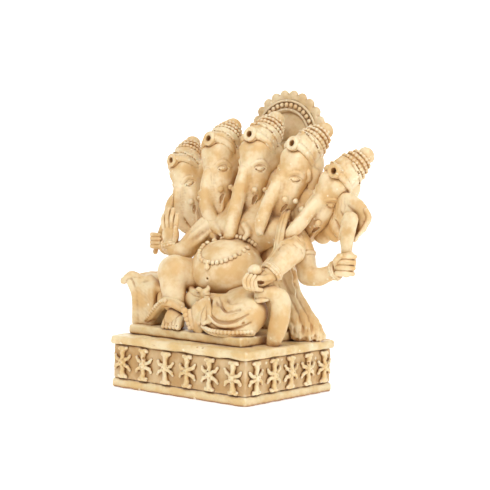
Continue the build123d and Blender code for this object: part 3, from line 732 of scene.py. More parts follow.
# Legs: the right knee is up, the left leg is folded across the seat under draped cloth
right_leg = Clay((-32, -22, 28), (0, 14, 60), 0.36)
right_leg.add(path([(-10, 6, 43.5, 7.6), (-15.0, -3, 47.4, 7.4), (-19.0, -9.0, 49.0, 6.6)]))
right_leg.add(egg((-19.4, -10.2, 49.2), (6.7, 6.5, 7.0)), 2)
right_leg.add(path([(-19.6, -10.6, 48.5, 6.3), (-17.8, -12.0, 42.5, 5.5), (-15.6, -12.8, 37, 4.3),
                    (-14.8, -13.2, 32.5, 3.6)]), 1.5)
right_leg.add(path([(-24.6, -7, 47.5, 1.6), (-25.4, -9.5, 42, 2.0), (-23.2, -13.0, 37.0, 2.1),
                    (-18, -15.6, 35.6, 1.9)]), 2.0)
right_leg.cut(path([(-24.0, -14.4, 47, 0.3), (-22.9, -16.4, 42, 0.6), (-19.5, -17.6, 38.5, 0.4)]), 0.8)
right_leg.ripple(0.07, lambda x, y, z: hand_made(x * 0.7, y * 0.7, z * 0.7))
cast("cast_right_leg", right_leg, ["right_leg"])

right_foot = Clay((-21, -25, 24.5), (-4, -8, 37), 0.27)
right_foot.add(path([(-14.8, -12.6, 34.0, 3.4), (-14.2, -14.2, 32.2, 3.7), (-13.2, -16.2, 30.0, 4.4),
                     (-12.6, -17.0, 28.6, 4.4)],
                    thin=((0, 0.6, 0.8), 1.3)))
for index in range(5):
    share = index / 4
    base = np.array([-17.0, -16.6, 29.8]) + share * np.array([8.2, -0.4, 0.8])
    tip = np.array([-15.4, -20.9, 26.9]) + share * np.array([8.4, -0.3, 0.5])
    radius = 0.98 + 0.42 * share ** 3
    right_foot.add(path([(*base, radius), (*((base + tip) / 2 + (0, 0, 0.9)), radius * 1.05),
                         (*tip, radius)]), 0.15)
    right_foot.cut(egg(tip + (0, -1.0, 0.75), (0.55, 0.45, 0.4)), 0.1)
right_foot.ripple(0.04, hand_made)
cast("cast_right_foot", right_foot, ["right_foot"])

left_leg = Clay((-4, -25, 25.2), (37, 12, 49), 0.38)
left_leg.add(path([(6, 4, 37.4, 8.5), (13.5, -3.5, 36.2, 9.0), (19.5, -8, 35.4, 8.0),
                   (21.4, -9.0, 35.0, 7.4)]))
left_leg.add(path([(21, -12, 32.5, 6.2), (14.5, -14.8, 32, 6.2), (7, -16.6, 31.8, 5.0),
                   (3, -17.4, 32, 3.9)]), 3.5)
left_leg.add(egg((13.5, -13, 28.6), (13.5, 7.2, 3.2)), 2.0)
left_leg.add(path([(0, -12, 38.0, 3.0), (8, -12.6, 38.4, 3.2), (16, -10, 38.6, 3.2)]), 2.0)


def front_line(clay, points, radius, blend, depth=0.0, cut=False):
    """A fold or groove over the front of a form: points are (x, z, thickness), settled from the front."""
    stations = []
    for x, z, thickness in points:
        place = clay.surface((x, -26, z), (0, 1, 0))
        stations.append((*(place + (0, depth, 0)), radius * thickness))
    (clay.cut if cut else clay.add)(path(stations), blend)


drapes = [[(6.8, 40.6, 0.6), (9.5, 36.8, 1), (14.5, 33.4, 1.2), (20.5, 33.6, 1.1), (26.0, 37.0, 0.5)],
          [(7.4, 36.9, 0.6), (10, 33.4, 1), (15, 30.4, 1.1), (21, 30.6, 1.0), (26.6, 33.6, 0.5)],
          [(9.4, 42.6, 0.4), (12.4, 39.4, 0.9), (17, 37.4, 1.0), (22.4, 38.6, 0.6)]]
for drape in drapes:
    front_line(left_leg, drape, 0.95, 1.0, 0.15)
for drape in drapes:
    front_line(left_leg, [(x, z - 1.7, thickness) for x, z, thickness in drape], 0.5, 0.8, 0.0, cut=True)
left_leg.ripple(0.08, lambda x, y, z: hand_made(x * 0.7, y * 0.7, z * 0.7))
pits(left_leg, [left_leg.surface((24.6, -26, 31.4), (0, 1, 0))], 0.85)
cast("cast_left_leg", left_leg, ["left_leg"], cloth_resin)

left_foot = Clay((-9, -24.5, 24.5), (9, -14, 42), 0.27)
left_foot.add(path([(4.4, -17.6, 37.4, 3.0), (1.6, -18.4, 33.8, 4.4), (1.8, -18.9, 29.6, 4.1),
                    (2.4, -19.0, 27.6, 3.1)],
                   thin=((0.3, 1, 0.1), 1.9)))
left_foot.add(path([(-1.8, -19.8, 34.0, 1.5), (-0.4, -20.2, 30.6, 1.6), (0.6, -20.2, 28.0, 1.3)]), 0.8)
for index in range(5):
    step = index / 4
    left_foot.add(ball((-3.5 + 3.1 * step, -21.3, 34.6 - 6.8 * step), 1.45 - 0.45 * step), 0.1)
left_foot.ripple(0.04, hand_made)
cast("cast_left_foot", left_foot, ["left_foot"])

# Waist sash and knot, pleat and hems
sash = Clay((-20, -18.5, 29), (30, 8, 49), 0.32)
sash.add(egg((-6.5, -8.0, 37.5), (8.0, 5.0, 5.6)))
for drop, radius in ((-1.5, 1.35), (-3.4, 1.2)):
    sash.add(path([(-14.5, -4.5, 45.0 + drop, radius), (-9, -9.8, 43.2 + drop, radius),
                   (-2, -12.4, 42.4 + drop, radius),
                   (6, -12.6, 42.2 + drop, radius), (14, -9.8, 42.8 + drop, radius),
                   (21, -4.5, 44.2 + drop, radius),
                   (24, 0.5, 45.5 + drop, radius * 0.8)]), 0.35)
sash.add(egg((1.9, -14.6, 41.5), (2.3, 1.6, 2.4), turn("Y", -20)), 0.5)
sash.add(path([(0.4, -14.8, 42.4, 0.9), (-1.8, -14.4, 43.2, 1.1), (-3.6, -13.4, 42.4, 0.8)]), 0.3)
sash.add(path([(2.4, -15.2, 42.6, 1.1), (3.4, -14.8, 43.8, 1.0), (3.0, -14.2, 44.8, 0.5)]), 0.3)
sash.cut(path([(0.8, -16.4, 42.8, 0.3), (2.1, -16.6, 41.4, 0.45), (2.9, -16.2, 40.0, 0.3)]), 0.3)
sash.ripple(0.06, hand_made)
cast("cast_waist_sash", sash, ["waist_sash"], cloth_resin)

pleat = Clay((-1, -24.5, 25), (15, -13, 43), 0.3)
for index, (x, lift) in enumerate(((5.0, 0.0), (7.5, 0.6), (10.0, 0.2))):
    pleat.add(path([(3.6 + 0.7 * index, -16.4, 40.2, 0.85), (5.4 + 1.2 * index, -18.4 - 0.3 * index, 37.0,
                                                             1.05),
                    (x - 0.5, -20.2 - lift, 33.8, 1.25), (x, -21.0 - lift, 31.4, 1.35)]), 0.3)
pleat.add(path([(3.8, -20.8, 31.2, 0.7), (5.2, -22.2, 30.4, 0.9), (6.5, -21.4, 31.2, 0.8),
                (8.0, -22.6, 30.5, 0.95),
                (9.6, -21.6, 31.4, 0.8), (11.4, -21.4, 31.8, 0.7)]), 0.4)
pleat.ripple(0.06, hand_made)
cast("cast_dhoti_pleat", pleat, ["dhoti_pleat"], cloth_resin)

hem_line = [(6.5, -20.2, 28.4, 1.2), (11.0, -21.2, 27.3, 1.4), (17.0, -20.8, 27.0, 1.5),
            (22.4, -17.6, 27.0, 1.4), (26.4, -13.2, 27.4, 1.1)]
hem = Clay((3, -25, 24.5), (30, -9, 31), 0.28)
hem.add(path(hem_line))
for x, y, z, _ in curve_points(hem_line, 4):
    hem.add(ball((x + 0.3, y - 1.4, z + 0.7), 0.95), 0.08)
cast("cast_dhoti_hem", hem, ["dhoti_hem"], ornament_resin)

ankle_line = [(-30.0, -14.6, 27.2, 0.9), (-27.6, -16.0, 28.6, 1.2), (-24.0, -17.2, 31.6, 1.3),
              (-20.6, -18.0, 34.6, 1.3),
              (-17.0, -18.6, 36.6, 1.3), (-12.8, -18.4, 36.2, 1.3), (-9.2, -16.6, 34.2, 1.2),
              (-7.4, -13.6, 32.6, 1.0)]
ankle = Clay((-34, -22.5, 25), (-3, -9, 41), 0.28)
ankle.add(path(ankle_line))
ankle.add(path([(-28, -13.6, 28.2, 1.4), (-24.5, -15.0, 31.5, 1.7), (-20.5, -15.8, 35.4, 2.2),
                (-15.5, -16.2, 37.0, 2.4),
                (-10.8, -15.2, 35.4, 1.9)]), 1.0)
for x, y, z, _ in curve_points(ankle_line, 3)[:14]:
    ankle.add(ball((x + 0.2, y - 1.3, z + 1.0), 0.86), 0.08)
ankle.ripple(0.05, hand_made)
cast("cast_ankle_hem", ankle, ["ankle_hem"], cloth_resin)

# Scroll arms of the seat
scroll = Clay((-47, -20, 24.5), (-22, 10, 50), 0.38)
scroll.add(block((-31.6, -5.5, 34.5), (5.4, 10.5, 9.6), 1.6))
scroll.add(path([(-36.2, -15.6, 26.4, 1.2), (-36.4, -15.8, 33, 1.2), (-37.2, -15.6, 39, 1.4),
                 (-39.6, -15.2, 43, 1.6)]), 1.5)
scroll.add(path([(-43.2, -15.8, 43.8, 1.5), (-41.0, -14.8, 46.0, 1.7), (-37.6, -13.6, 47.3, 1.9),
                 (-33.2, -12.8, 46.6, 2.0), (-28.5, -12.4, 43.8, 1.9),
                 (-25.2, -12.0, 41.4, 1.6)]), 1.6)
scroll.add(path([(-42.2, -12.0, 43.8, 1.7), (-40.2, -4.0, 45.4, 2.0), (-39.5, 6.0, 45.0, 2.0)]), 1.6)
scroll.add(egg((-35.0, -4, 44.6), (6.2, 12.0, 2.4)), 1.6)
scroll.cut(egg((-30.8, -18.2, 35.0), (4.4, 3.2, 8.6)), 1.6)
scroll.cut(egg((-35.5, -13.5, 48.4), (4.6, 4.5, 1.5), turn("Y", 12)), 1.0)
scroll.ripple(0.12, lambda x, y,
              z: hand_made(x * 0.8, y * 0.8, z * 0.8) + 0.8 * np.sin(x * 4.1 + y * 3.3) * (x < -42.2))
cast("cast_seat_arm_right", scroll, ["seat_arm_right"], cloth_resin)

horn = Clay((21, -14, 21.4), (42, 3, 50), 0.36)
horn.add(path([(30.8, -5.2, 23.0, 2.9), (32.4, -5.2, 28.0, 3.7), (33.8, -5.0, 34.0, 4.0),
               (33.6, -4.8, 39.0, 4.0), (31.8, -5.2, 41.8, 3.5)]))
horn.add(path([(25.4, -9.4, 41.8, 1.7), (27.2, -9.2, 43.4, 2.5), (30.6, -7.4, 43.8, 3.1),
               (34.0, -5.4, 42.6, 3.1), (35.8, -4.4, 40.4, 2.2)]), 1.2)
horn.add(path([(25.0, -10.4, 40.8, 0.9), (26.4, -10.8, 40.4, 1.0), (28.4, -10.6, 40.8, 0.9),
               (30.4, -9.4, 41.0, 0.6)]), 0.5)
horn.ripple(0.12, lambda x, y,
            z: hand_made(x * 0.8, y * 0.8, z * 0.8) + 0.7 * np.sin(x * 4.3 + y * 3.1) * (x < 26.8))
cast("cast_seat_arm_left", horn, ["seat_arm_left"], cloth_resin)

# Drapery behind the figure: oval sections (height, half width, half depth, distance back) with vertical
# folds
DRAPERY = np.array([(22.0, 34.5, 9.0, 19.5), (30, 30.0, 8.4, 19.2), (38, 26.0, 8.2, 18.6),
                    (54, 22.5, 7.6, 17.2), (70, 27.0, 7.2, 19.2),
                    (84, 32.0, 6.6, 23.6), (92, 24.0, 5.6, 27.2), (96, 14.0, 3.6, 29.0)])


def drapery_distance(x, y, z):
    half_width, half_depth, back = (np.interp(z, DRAPERY[:, 0], DRAPERY[:, column]) for column in (1, 2, 3))
    u, v = x / half_width, (y - back) / half_depth
    around = np.arctan2(v, u)
    folds = 1.0 * np.sin(around * 13 + 0.9 * np.sin(z * 0.09)) * np.clip((86 - z) / 20, 0.15, 1)
    side = (np.sqrt(u * u + v * v) - 1) * half_depth * 0.9 - folds * np.clip(np.abs(v) * 2, 0.3, 1)
    return np.maximum(side, np.maximum(DRAPERY[0, 0] - z, z - DRAPERY[-1, 0]))


drapery = Clay((-40, 7, 21), (40, 37, 98), 0.48)
drapery.add(Shape((-36, 8, 22), (36, 36, 96), drapery_distance))
for side in (-1, 1):
    for index in range(7):
        share = index / 6
        bulge = 1.15 + 0.5 * (index % 2)
        fold = [(16.5 + 8.5 * share, 11.8 + 7.4 * share, 50 - 7 * share, 0.8),
                (21.0 + 8.2 * share, 12.0 + 8.2 * share, 41 - 5 * share, bulge),
                (25.4 + 8.0 * share + 0.6 * (index % 2), 12.4 + 8.6 * share, 32 - 2 * share, bulge * 1.15),
                (28.4 + 8.0 * share, 12.6 + 9.0 * share, 24.0, bulge * 1.3)]
        drapery.add(path([(side * x, y, z, radius) for x, y, z, radius in fold]), 0.35)
drapery.ripple(0.14, hand_made)
drapery.ripple(0.3, lambda x, y,
               z: np.sin(x * 2.3 + z) * np.sin(y * 2.5 - z * 1.4) * np.clip((36 - z) / 10, 0.12, 1))
cast("cast_back_drapery", drapery, ["back_drapery"], cloth_resin)


# ---------------------------------------------------------------- arms, hands and what they hold

def fingers(clay, knuckles, middle_joints, tips, radii, blend=0.12):
    for knuckle, joint, tip, radius in zip(knuckles, middle_joints, tips, radii):
        clay.add(path([(*knuckle, radius), (*joint, radius), (*tip, radius * 0.82)], steps=3), blend)


arm = Clay((-37, -6, 50), (-10, 18, 77), 0.36)
arm.add(path([(-17.5, 10, 67.5, 5.6), (-21.0, 5.8, 62.4, 5.0), (-23.8, 2.8, 58.2, 4.5),
              (-25.4, 1.4, 56.8, 4.3)]))
arm.add(path([(-25.0, 1.4, 56.6, 4.2), (-28.0, 0.4, 57.2, 3.7), (-30.7, 0.1, 59.6, 3.0)]), 0.8)
for fold in ([(-15, 6.4, 69, 1.0), (-18.4, 2.4, 65.4, 1.3), (-21.4, 0.6, 61.2, 0.8)],
             [(-13.4, 6.4, 66, 1.0), (-16.6, 3.6, 62.4, 1.2), (-20.4, 1.4, 58.6, 0.8)]):
    arm.add(path(fold), 0.8)
arm.ripple(0.08, hand_made)
cast("cast_right_front_arm", arm, ["right_front_arm"])

palm = Clay((-38, -6, 54), (-22, 6, 79), 0.26)
palm.add(egg((-30.7, 0.2, 64.0), (4.6, 1.9, 4.9)))
palm.add(path([(-31.0, 0.5, 58.0, 2.9), (-30.9, 0.4, 61.0, 3.0)], thin=((0, 1, 0), 1.2)), 1.0)
spread = [(-34.0, 67.0, -34.5, 70.2, -34.3, 72.4), (-31.8, 67.4, -32.0, 71.6, -31.8, 74.8),
          (-29.5, 67.4, -29.4, 71.6, -29.2, 75.0), (-27.3, 67.0, -26.9, 70.2, -26.8, 72.8)]
fingers(palm, [(a, -0.3, b) for a, b, *_ in spread], [(c, -0.6, d) for _, _, c, d, *_ in spread],
        [(e, -0.2, f) for *_, e, f in spread], (1.12, 1.2, 1.2, 1.12))
palm.add(path([(-27.6, -0.5, 61.6, 1.3), (-26.4, -1.4, 64.4, 1.15), (-26.4, -1.7, 67.4, 0.9)]), 0.5)
palm.cut(egg((-30.9, -2.1, 63.8), (2.0, 0.9, 2.4)), 0.8)
cast("cast_right_front_hand", palm, ["right_front_hand"])

arm = Clay((13, -13, 44), (42, 25, 76), 0.36)
arm.add(path([(21, 17, 67.5, 4.8), (26.8, 12.0, 64.0, 5.0), (31.0, 6.4, 61.0, 5.2),
              (32.8, 2.4, 59.6, 4.9)]))
arm.add(path([(33.0, 1.0, 58.8, 4.5), (31.5, -3.0, 55.0, 4.0), (29.6, -6.6, 51.6, 3.2)]), 0.6)
arm.add(ring((32.0, 3.4, 60.2), (0.35, -0.75, -0.5), 4.9, 1.1, 0.8), 0.6)
for fold in ([(22, 10.6, 68.6, 0.8), (26.6, 5.6, 65.4, 1.2), (29.6, 0.8, 62.6, 1.0)],
             [(21, 9.0, 65.4, 0.8), (25.6, 4.4, 62.4, 1.2), (29.0, -0.4, 59.6, 0.9)],
             [(26, 12, 69.4, 0.7), (31.6, 6.8, 66.0, 1.1), (34.6, 2.6, 63.4, 0.9)]):
    arm.add(path(fold), 0.7)
arm.ripple(0.13, lambda x, y, z: hand_made(x * 1.8, y * 1.8, z * 1.8) * np.clip((z - 57) / 3, 0.3, 1))
cast("cast_left_front_arm", arm, ["left_front_arm"])

palm = Clay((17, -20, 41), (36, -3, 57), 0.25)
palm.add(path([(29.6, -6.4, 51.2, 3.0), (27.8, -8.6, 49.4, 3.0), (25.6, -10.2, 47.8, 2.9),
               (24.2, -11.2, 47.4, 2.3)]))
for index in range(4):
    x, y, lift = 24.0 + 1.25 * index, -15.5 + 0.9 * index, 0.3 * index
    palm.add(path([(x + 1.1, y + 1.4, 45.5 - 0.3 * lift, 0.85), (x + 0.1, y - 0.5, 46.6 - lift, 0.92),
                   (x - 0.2, y - 0.9, 49.2 - lift, 0.9),
                   (x + 0.4, y + 0.3, 51.4 - lift, 0.75)]), 0.06)
palm.add(path([(31.0, -7.6, 50.8, 1.5), (30.4, -10.8, 50.0, 1.3), (28.8, -13.0, 50.0, 1.1)]), 0.35)
palm.cut(egg((28.6, -12.0, 48.4), (1.5, 1.7, 1.1)), 0.3)
cast("cast_left_front_hand", palm, ["left_front_hand"])
sweet = Clay((20, -17, 47), (31, -5, 58), 0.27)
sweet.add(egg((25.0, -11.0, 52.6), (3.0, 3.0, 2.8)))
sweet.ripple(0.05, hand_made)
cast("cast_sweet", sweet, ["sweet"], ornament_resin)

arm = Clay((-48, 2, 50), (-16, 20, 72), 0.36)
arm.add(path([(-21, 14, 63.4, 4.3), (-29.5, 12.6, 58.8, 3.8), (-36.5, 10.6, 57.2, 3.4),
              (-43.2, 8.4, 59.0, 2.8)]))
arm.ripple(0.07, hand_made)
cast("cast_right_rear_arm", arm, ["right_rear_arm"])
fist = Clay((-52, 1, 53), (-38, 15, 68), 0.27)
fist.add(egg((-44.4, 8.4, 60.4), (2.9, 3.0, 3.6)))
for index in range(4):
    height = 57.8 + 1.75 * index
    fist.add(path([(-42.4, 5.9, height, 0.9), (-45.0, 5.0, height, 0.95), (-47.2, 6.4, height, 0.95),
                   (-47.4, 8.8, height, 0.8)]), 0.15)
cast("cast_right_rear_hand", fist, ["right_rear_hand"])
goad = Clay((-50, 3, 52), (-33, 13, 85), 0.3)
goad.add(path([(-46.0, 7.6, 55.2, 1.1), (-43.8, 7.9, 63, 1.2), (-41.2, 8.1, 69, 1.4),
               (-40.0, 8.2, 73, 1.5)]))
goad.add(path([(-40.2, 8.2, 72, 1.5), (-39.2, 8.4, 76.0, 2.4), (-37.9, 8.6, 80.2, 1.0)],
              thin=((0.3, 1, 0), 2.0)), 0.6)
goad.ripple(0.05, hand_made)
cast("cast_goad", goad, ["goad"], ornament_resin)

arm = Clay((20, 4, 42), (58, 20, 73), 0.36)
arm.add(path([(25, 14, 67, 5.2), (30.5, 13.4, 61, 4.8), (33.2, 12.6, 54.5, 4.4), (35.0, 12, 50.4, 4.1)]))
arm.add(path([(34.8, 12, 50.4, 4.1), (39.5, 12, 50.0, 3.9), (45, 12, 51.6, 3.3), (52.0, 12, 54.4, 2.7)]),
        1.0)
arm.add(ring((31.8, 13.0, 58.4), (0.35, -0.1, -0.9), 4.5, 0.8), 0.3)
arm.ripple(0.08, hand_made)
cast("cast_left_rear_arm", arm, ["left_rear_arm"])
fist = Clay((46, 3, 46), (63, 20, 68), 0.27)
fist.add(egg((54.4, 12.2, 56.4), (3.5, 3.4, 5.6), turn("Y", 8)))
for index in range(4):
    height = 52.4 + 2.35 * index
    lean = 0.25 * (index - 1.5)
    fist.add(path([(50.8 + lean, 10.6, height, 1.05), (53.0 + lean, 8.2, height + 0.2, 1.2),
                   (56.4 + lean, 8.6, height + 0.4, 1.2),
                   (58.2 + lean, 11.2, height + 0.2, 1.0)]), 0.15)
fist.add(path([(51.0, 10.0, 54.5, 1.3), (52.2, 7.2, 57.8, 1.25), (54.8, 6.8, 60.0, 1.0)]), 0.3)
cast("cast_left_rear_hand", fist, ["left_rear_hand"])

# The lotus: ribs that fan out from the fist in front of the broad ear
lotus = Clay((44, 6, 56), (64, 22, 83), 0.3)
lotus.add(rod((53.8, 11.8, 58), (53.7, 12.4, 66), 1.9, 2.4))
for index in range(6):
    share = index / 5 * 2 - 1
    angle = radians(13 * share + 1)
    reach = 14.0 - 1.8 * share ** 2
    tip = np.array([53.6 + reach * sin(angle), 14.4 - 0.5 * (index % 2), 62.5 + reach * cos(angle)])
    root = np.array([53.7, 12.4, 62.0])
    middle = (root + tip) / 2 + (0.8 * share, -0.9, 0)
    lotus.add(path([(*root, 1.5), (*middle, 1.5), (*tip, 1.35)], thin=((0.1, 1, -0.25), 1.3)), 1.1)
lotus.ripple(0.07, hand_made)
cast("cast_lotus", lotus, ["lotus"], ornament_resin)

# Ears: small ones on heads 1 and 4, and the broad one that spreads from head 5 to the lotus
ear_parts = []
for number, side, size in ((4, 1, 0.62), (1, -1, 0.8)):
    own = HeadFrame(*HEADS[number - 1])
    ear = Clay((-15, 3, -14), (15, 22, 13), 0.33)
    ear.add(path([(side * 6.4, 12.5, 7.5, 2.2 * size), (side * 8.2, 14.0, 4.0, 4.2 * size),
                  (side * 9.0, 14.4, -2.0, 4.6 * size),
                  (side * 8.6, 13.0, -8.0 * size, 2.4 * size)], thin=((side * 0.75, -0.6, 0), 2.2)))
    ear.add(path([(side * 6.4, 10.6, 6.6, 1.0), (side * 7.6, 10.8, 4.8, 1.2), (side * 7.8, 11.4, 2.4, 1.0),
                  (side * 6.6, 11.2, 0.6, 0.8)]), 0.6)
    ear.ripple(0.07, hand_made)
    vertices, quads = ear.skin()
    ear_parts.append((own.out(vertices), quads))
ear = Clay((25, 8, 56), (67, 30, 92), 0.36)
flap = ((0.35, -0.93, 0.1), 1.7)
for ray in ([(42, 21.5, 82.6, 2.4), (49, 19.5, 82.2, 2.8), (55.4, 18.4, 79.6, 2.6), (58.8, 18, 76.0, 2.0)],
            [(41.5, 22, 80, 2.6), (49, 20, 78, 3.4), (56.0, 18.4, 74.0, 3.0), (57.8, 17.4, 71.0, 1.8)],
            [(40.5, 22.5, 77, 2.6), (47, 20.4, 74, 3.4), (52.6, 18.0, 69.5, 3.0), (55.0, 15.8, 67.0, 1.8)],
            [(39, 22.5, 74, 2.6), (43.5, 21, 70.5, 3.2), (47.4, 19, 67.5, 2.6), (49.6, 17.6, 66.0, 1.5)],
            [(36, 22.5, 71, 2.6), (39.5, 22, 68, 3.0), (42.0, 21, 66.2, 2.0)],
            [(31, 22, 68, 2.6), (34, 22, 66, 2.8), (36.6, 21.6, 65.0, 1.8)]):
    ear.add(path(ray, thin=flap), 2.0)
ear.add(path([(59.4, 17.2, 78.6, 0.9), (61.0, 17.2, 75.4, 1.1), (59.4, 16.6, 71.4, 1.0),
              (56.2, 15.0, 67.0, 0.9)]), 0.8)
ear.add(path([(46.5, 19.6, 84.2, 0.9), (49.4, 18.6, 83.4, 1.1), (51.4, 18.3, 81.4, 1.1),
              (50.6, 18.3, 79.2, 0.9),
              (52.2, 18.0, 77.6, 0.7)]), 0.6)
for groove in ([(50.5, 79.6, 0.3), (54.0, 76.4, 0.7), (56.2, 72.4, 0.3)],
               [(46.5, 77.0, 0.3), (49.6, 72.6, 0.7), (51.0, 68.6, 0.3)],
               [(43.0, 73.6, 0.3), (45.6, 70.2, 0.6), (47.0, 67.6, 0.3)]):
    ear.cut(path([(*ear.surface((x, 8.5, z), (0, 1, 0)), radius) for x, z, radius in groove]), 1.0)
ear.ripple(0.08, hand_made)
ear_parts.append(ear.skin())
make_piece("cast_ears", ear_parts, ["ears"], skin_resin)

# Bracelets: centre, direction of the wrist and radius
bands = []
for centre, along, radius in (((48.6, 12, 53.2), (1, 0, 0.38), 3.3),
                              ((30.2, -5.6, 52.6), (-0.35, -0.7, -0.65), 3.7),
                              ((-30.6, 0.1, 59.4), (-0.3, 0, 1), 3.2),
                              ((-40.8, 9.3, 58.2), (1, -0.35, 0.25), 3.1)):
    band = Clay(np.subtract(centre, 6.5), np.add(centre, 6.5), 0.26)
    for shift, thickness in ((-0.95, 0.62), (0.0, 0.85), (0.95, 0.62)):
        band.add(ring(np.add(centre, unit(along) * shift), along, radius, thickness), 0.15)
    around = facing(along)
    for index in range(16):
        angle = 2 * pi * index / 16
        band.add(ball(np.add(centre, (radius + 0.5) * (cos(angle) * around[:, 0] + sin(angle) * around[:,
                                                                                                       1])), 0.62), 0.1)
    bands.append(band.skin())
make_piece("cast_bracelets", bands, ["bracelets"], ornament_resin)

# Necklace on the chest, its pendant and the sash over the left shoulder
bead_places = []
for index in range(30):
    angle = 2 * pi * index / 30
    bead_places.append(torso.surface((1.6 + 9.8 * cos(angle), -20, 59.4 + 5.2 * sin(angle)),
                                     (0, 1, 0.0)) + (0, -0.4, 0.3))
make_piece("cast_necklace", bead_skins(bead_places, 1.0), ["necklace"], ornament_resin)
drop = torso.surface((0.2, -20, 53.6), (0, 1, 0))
pendant = Clay(drop - 4, drop + 4, 0.22)
pendant.add(egg(drop + (0, -0.8, -0.9), (1.35, 1.3, 1.5)))
pendant.add(ball(drop + (0, -0.8, 1.0), 1.0), 0.1)
cast("cast_pendant", pendant, ["pendant"], ornament_resin)

shoulder = Clay((15, -12, 50), (34, 21, 82), 0.28)
sash_line = np.array([(19.5, 17.5, 77.5, 0.8), (22.6, 10.6, 73.6, 0.9), (25.0, 5.4, 69, 0.95), (26.4, 2.4, 64.6, 0.95),
                      (27.4, -0.4, 60, 0.9), (26.0, -5.8, 54.6, 0.8)])
for offset in (-1.3, 0.0, 1.3):
    shoulder.add(path(sash_line + (offset, 0.3 * abs(offset), 0.2 * offset, 0)), 0.25)
shoulder.ripple(0.05, hand_made)
cast("cast_shoulder_sash", shoulder, ["shoulder_sash"], cloth_resin)


# ---------------------------------------------------------------- halo

rim_low, rim_high = box_mm("halo_rim")
HALO = np.array([(rim_low[0] + rim_high[0]) / 2, rim_low[1], (rim_low[2] + rim_high[2]) / 2])
BEAD_CIRCLE = 14.4


def on_halo(part):
    """From the halo's own frame (Z towards the viewer) to the idol's."""
    vertices, quads = part
    return HALO + vertices @ turn("X", 90).T, quads


disc = Clay((-19, -19, -5), (19, 19, 2), 0.36)
disc.add(turned([(-3.0, 16.2), (-2.6, 17.2), (-0.1, 17.3), (0.0, 12.2)]))
disc.cut(turned([(-0.95, 11.4), (3.0, 11.8)]), 0.3)
disc.ripple(0.06, hand_made)
stem = Clay((-8, 21, 88), (8, 52, 109), 0.4)
stem.add(path([(0, 29, 95.5, 6.0), (0, 35, 98.5, 5.4), (0, HALO[1] + 0.6, 101.5, 4.6)]))
make_piece("cast_halo_disc", [on_halo(disc.skin()), stem.skin()], ["halo_disc"], halo_resin)
rim = Clay((-22, -22, -5), (22, 22, 2), 0.36)
rim.add(turned([(-3.0, 18.2), (-2.4, 19.0), (-0.5, 18.9), (0.0, 18.0)]))
for index in range(24):
    angle = 2 * pi * (index + 0.5) / 24
    rim.add(egg((18.5 * cos(angle), 18.5 * sin(angle), -1.4), (2.45, 2.45, 1.6)), 0.25)
    rim.cut(ball((17.3 * cos(angle), 17.3 * sin(angle), 0.9), 0.8), 0.6)
rim.cut(turned([(-6.0, 16.6), (3.0, 16.6)]), 0.2)
rim.ripple(0.08, hand_made)
make_piece("cast_halo_rim", [on_halo(rim.skin())], ["halo_rim"], halo_resin)
rings = Clay((-18, -18, -2), (18, 18, 2), 0.3)
for radius in (12.3, 16.2):
    rings.add(ring((0, 0, 0.1), (0, 0, 1), radius, 0.6))
make_piece("cast_halo_rings", [on_halo(rings.skin())], ["halo_rings"], halo_resin)
halo_beads = [(BEAD_CIRCLE * cos(2 * pi * i / 36), BEAD_CIRCLE * sin(2 * pi * i / 36),
               0.25) for i in range(36)]
make_piece("cast_halo_beads", [on_halo(part) for part in bead_skins(halo_beads, 1.05, 0.25)],
           ["halo_beads"],
           ornament_resin)


# ---------------------------------------------------------------- floor, light and camera

bpy.ops.mesh.primitive_plane_add(size=6, location=(0, 0, 0))
floor = bpy.context.object
floor.name = "floor"
floor_paint = bpy.data.materials.new("floor_paint")
floor_paint.use_nodes = True
floor_paint.node_tree.nodes["Principled BSDF"].inputs["Base Color"].default_value = (0.95, 0.95, 0.95, 1)
floor_paint.node_tree.nodes["Principled BSDF"].inputs["Roughness"].default_value = 0.9
floor_paint.node_tree.nodes["Principled BSDF"].inputs["Emission Color"].default_value = (1.0, 1.0, 1.0, 1)
floor_paint.node_tree.nodes["Principled BSDF"].inputs["Emission Strength"].default_value = 0.35
floor.data.materials.append(floor_paint)
bpy.ops.mesh.primitive_plane_add(size=8, location=(-1.4, 2.2, 1.5))
backdrop = bpy.context.object
backdrop.name = "backdrop"
backdrop.rotation_euler = (radians(90), 0, radians(39))
backdrop_paint = bpy.data.materials.new("backdrop_paint")
backdrop_paint.use_nodes = True
backdrop_shader = backdrop_paint.node_tree.nodes["Principled BSDF"]
backdrop_shader.inputs["Base Color"].default_value = (0.9, 0.9, 0.9, 1)
backdrop_shader.inputs["Emission Color"].default_value = (1.0, 1.0, 1.0, 1)
backdrop_shader.inputs["Emission Strength"].default_value = 1.0
backdrop.data.materials.append(backdrop_paint)

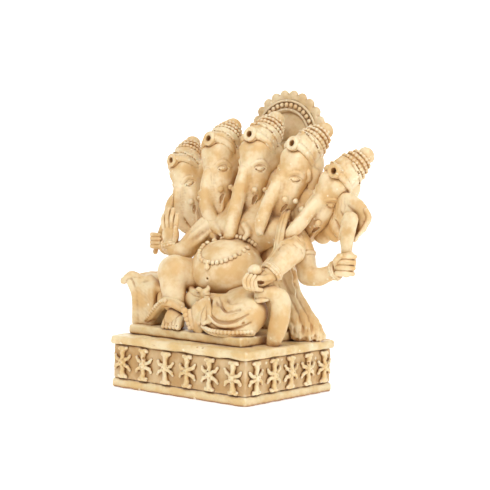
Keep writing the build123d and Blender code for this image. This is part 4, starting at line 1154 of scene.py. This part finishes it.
world = bpy.data.worlds.new("studio")
world.use_nodes = True
world.node_tree.nodes["Background"].inputs["Color"].default_value = (1.0, 1.0, 1.0, 1)
world.node_tree.nodes["Background"].inputs["Strength"].default_value = 0.42
bpy.context.scene.world = world
bpy.context.scene.view_settings.view_transform = "Standard"


def softbox(name, azimuth, elevation, distance, size, watts):
    """An area light that looks at the idol's middle."""
    a, e = radians(azimuth), radians(elevation)
    back = np.array([sin(a) * cos(e), -cos(a) * cos(e), sin(e)])
    light = bpy.data.lights.new(name, "AREA")
    light.size, light.energy = size, watts
    lamp = bpy.data.objects.new(name, light)
    bpy.context.scene.collection.objects.link(lamp)
    place = back * distance + (0, 0, 0.06)
    side = unit(np.cross((0, 0, 1), back))
    rotation = np.column_stack([side, np.cross(back, side), back])
    lamp.matrix_world = Matrix.Translation(place) @ Matrix(rotation.tolist()).to_4x4()


softbox("key", 14, 50, 0.9, 0.32, 3.95)
softbox("fill", 92, 30, 1.0, 0.5, 3.0)

AZIMUTH, ELEVATION, ROLL = 39.0, 3.86, 1.352
DISTANCE, FOCAL_PIXELS, IMAGE = 0.634237, 1500.0, 490.0
AIM_RIGHT, AIM_UP = 20.057 / FOCAL_PIXELS, 3.143 / FOCAL_PIXELS
a, e = radians(AZIMUTH), radians(ELEVATION)
back = np.array([sin(a) * cos(e), -cos(a) * cos(e), sin(e)])
side = np.array([cos(a), sin(a), 0.0])
rotation = Matrix(np.column_stack([side, np.cross(back, side), back]).tolist()).to_4x4()
camera_data = bpy.data.cameras.new("camera")
camera_data.sensor_width = 36.0
camera_data.lens = 36.0 * FOCAL_PIXELS / IMAGE
camera = bpy.data.objects.new("camera", camera_data)
bpy.context.scene.collection.objects.link(camera)
camera.matrix_world = (Matrix.Translation(back * DISTANCE + (0, 0,
                                                             0.06)) @ rotation @ Matrix.Rotation(radians(ROLL), 4, "Z")
                       @ Matrix.Rotation(-AIM_RIGHT, 4, "Y") @ Matrix.Rotation(AIM_UP, 4, "X"))
bpy.context.scene.camera = camera
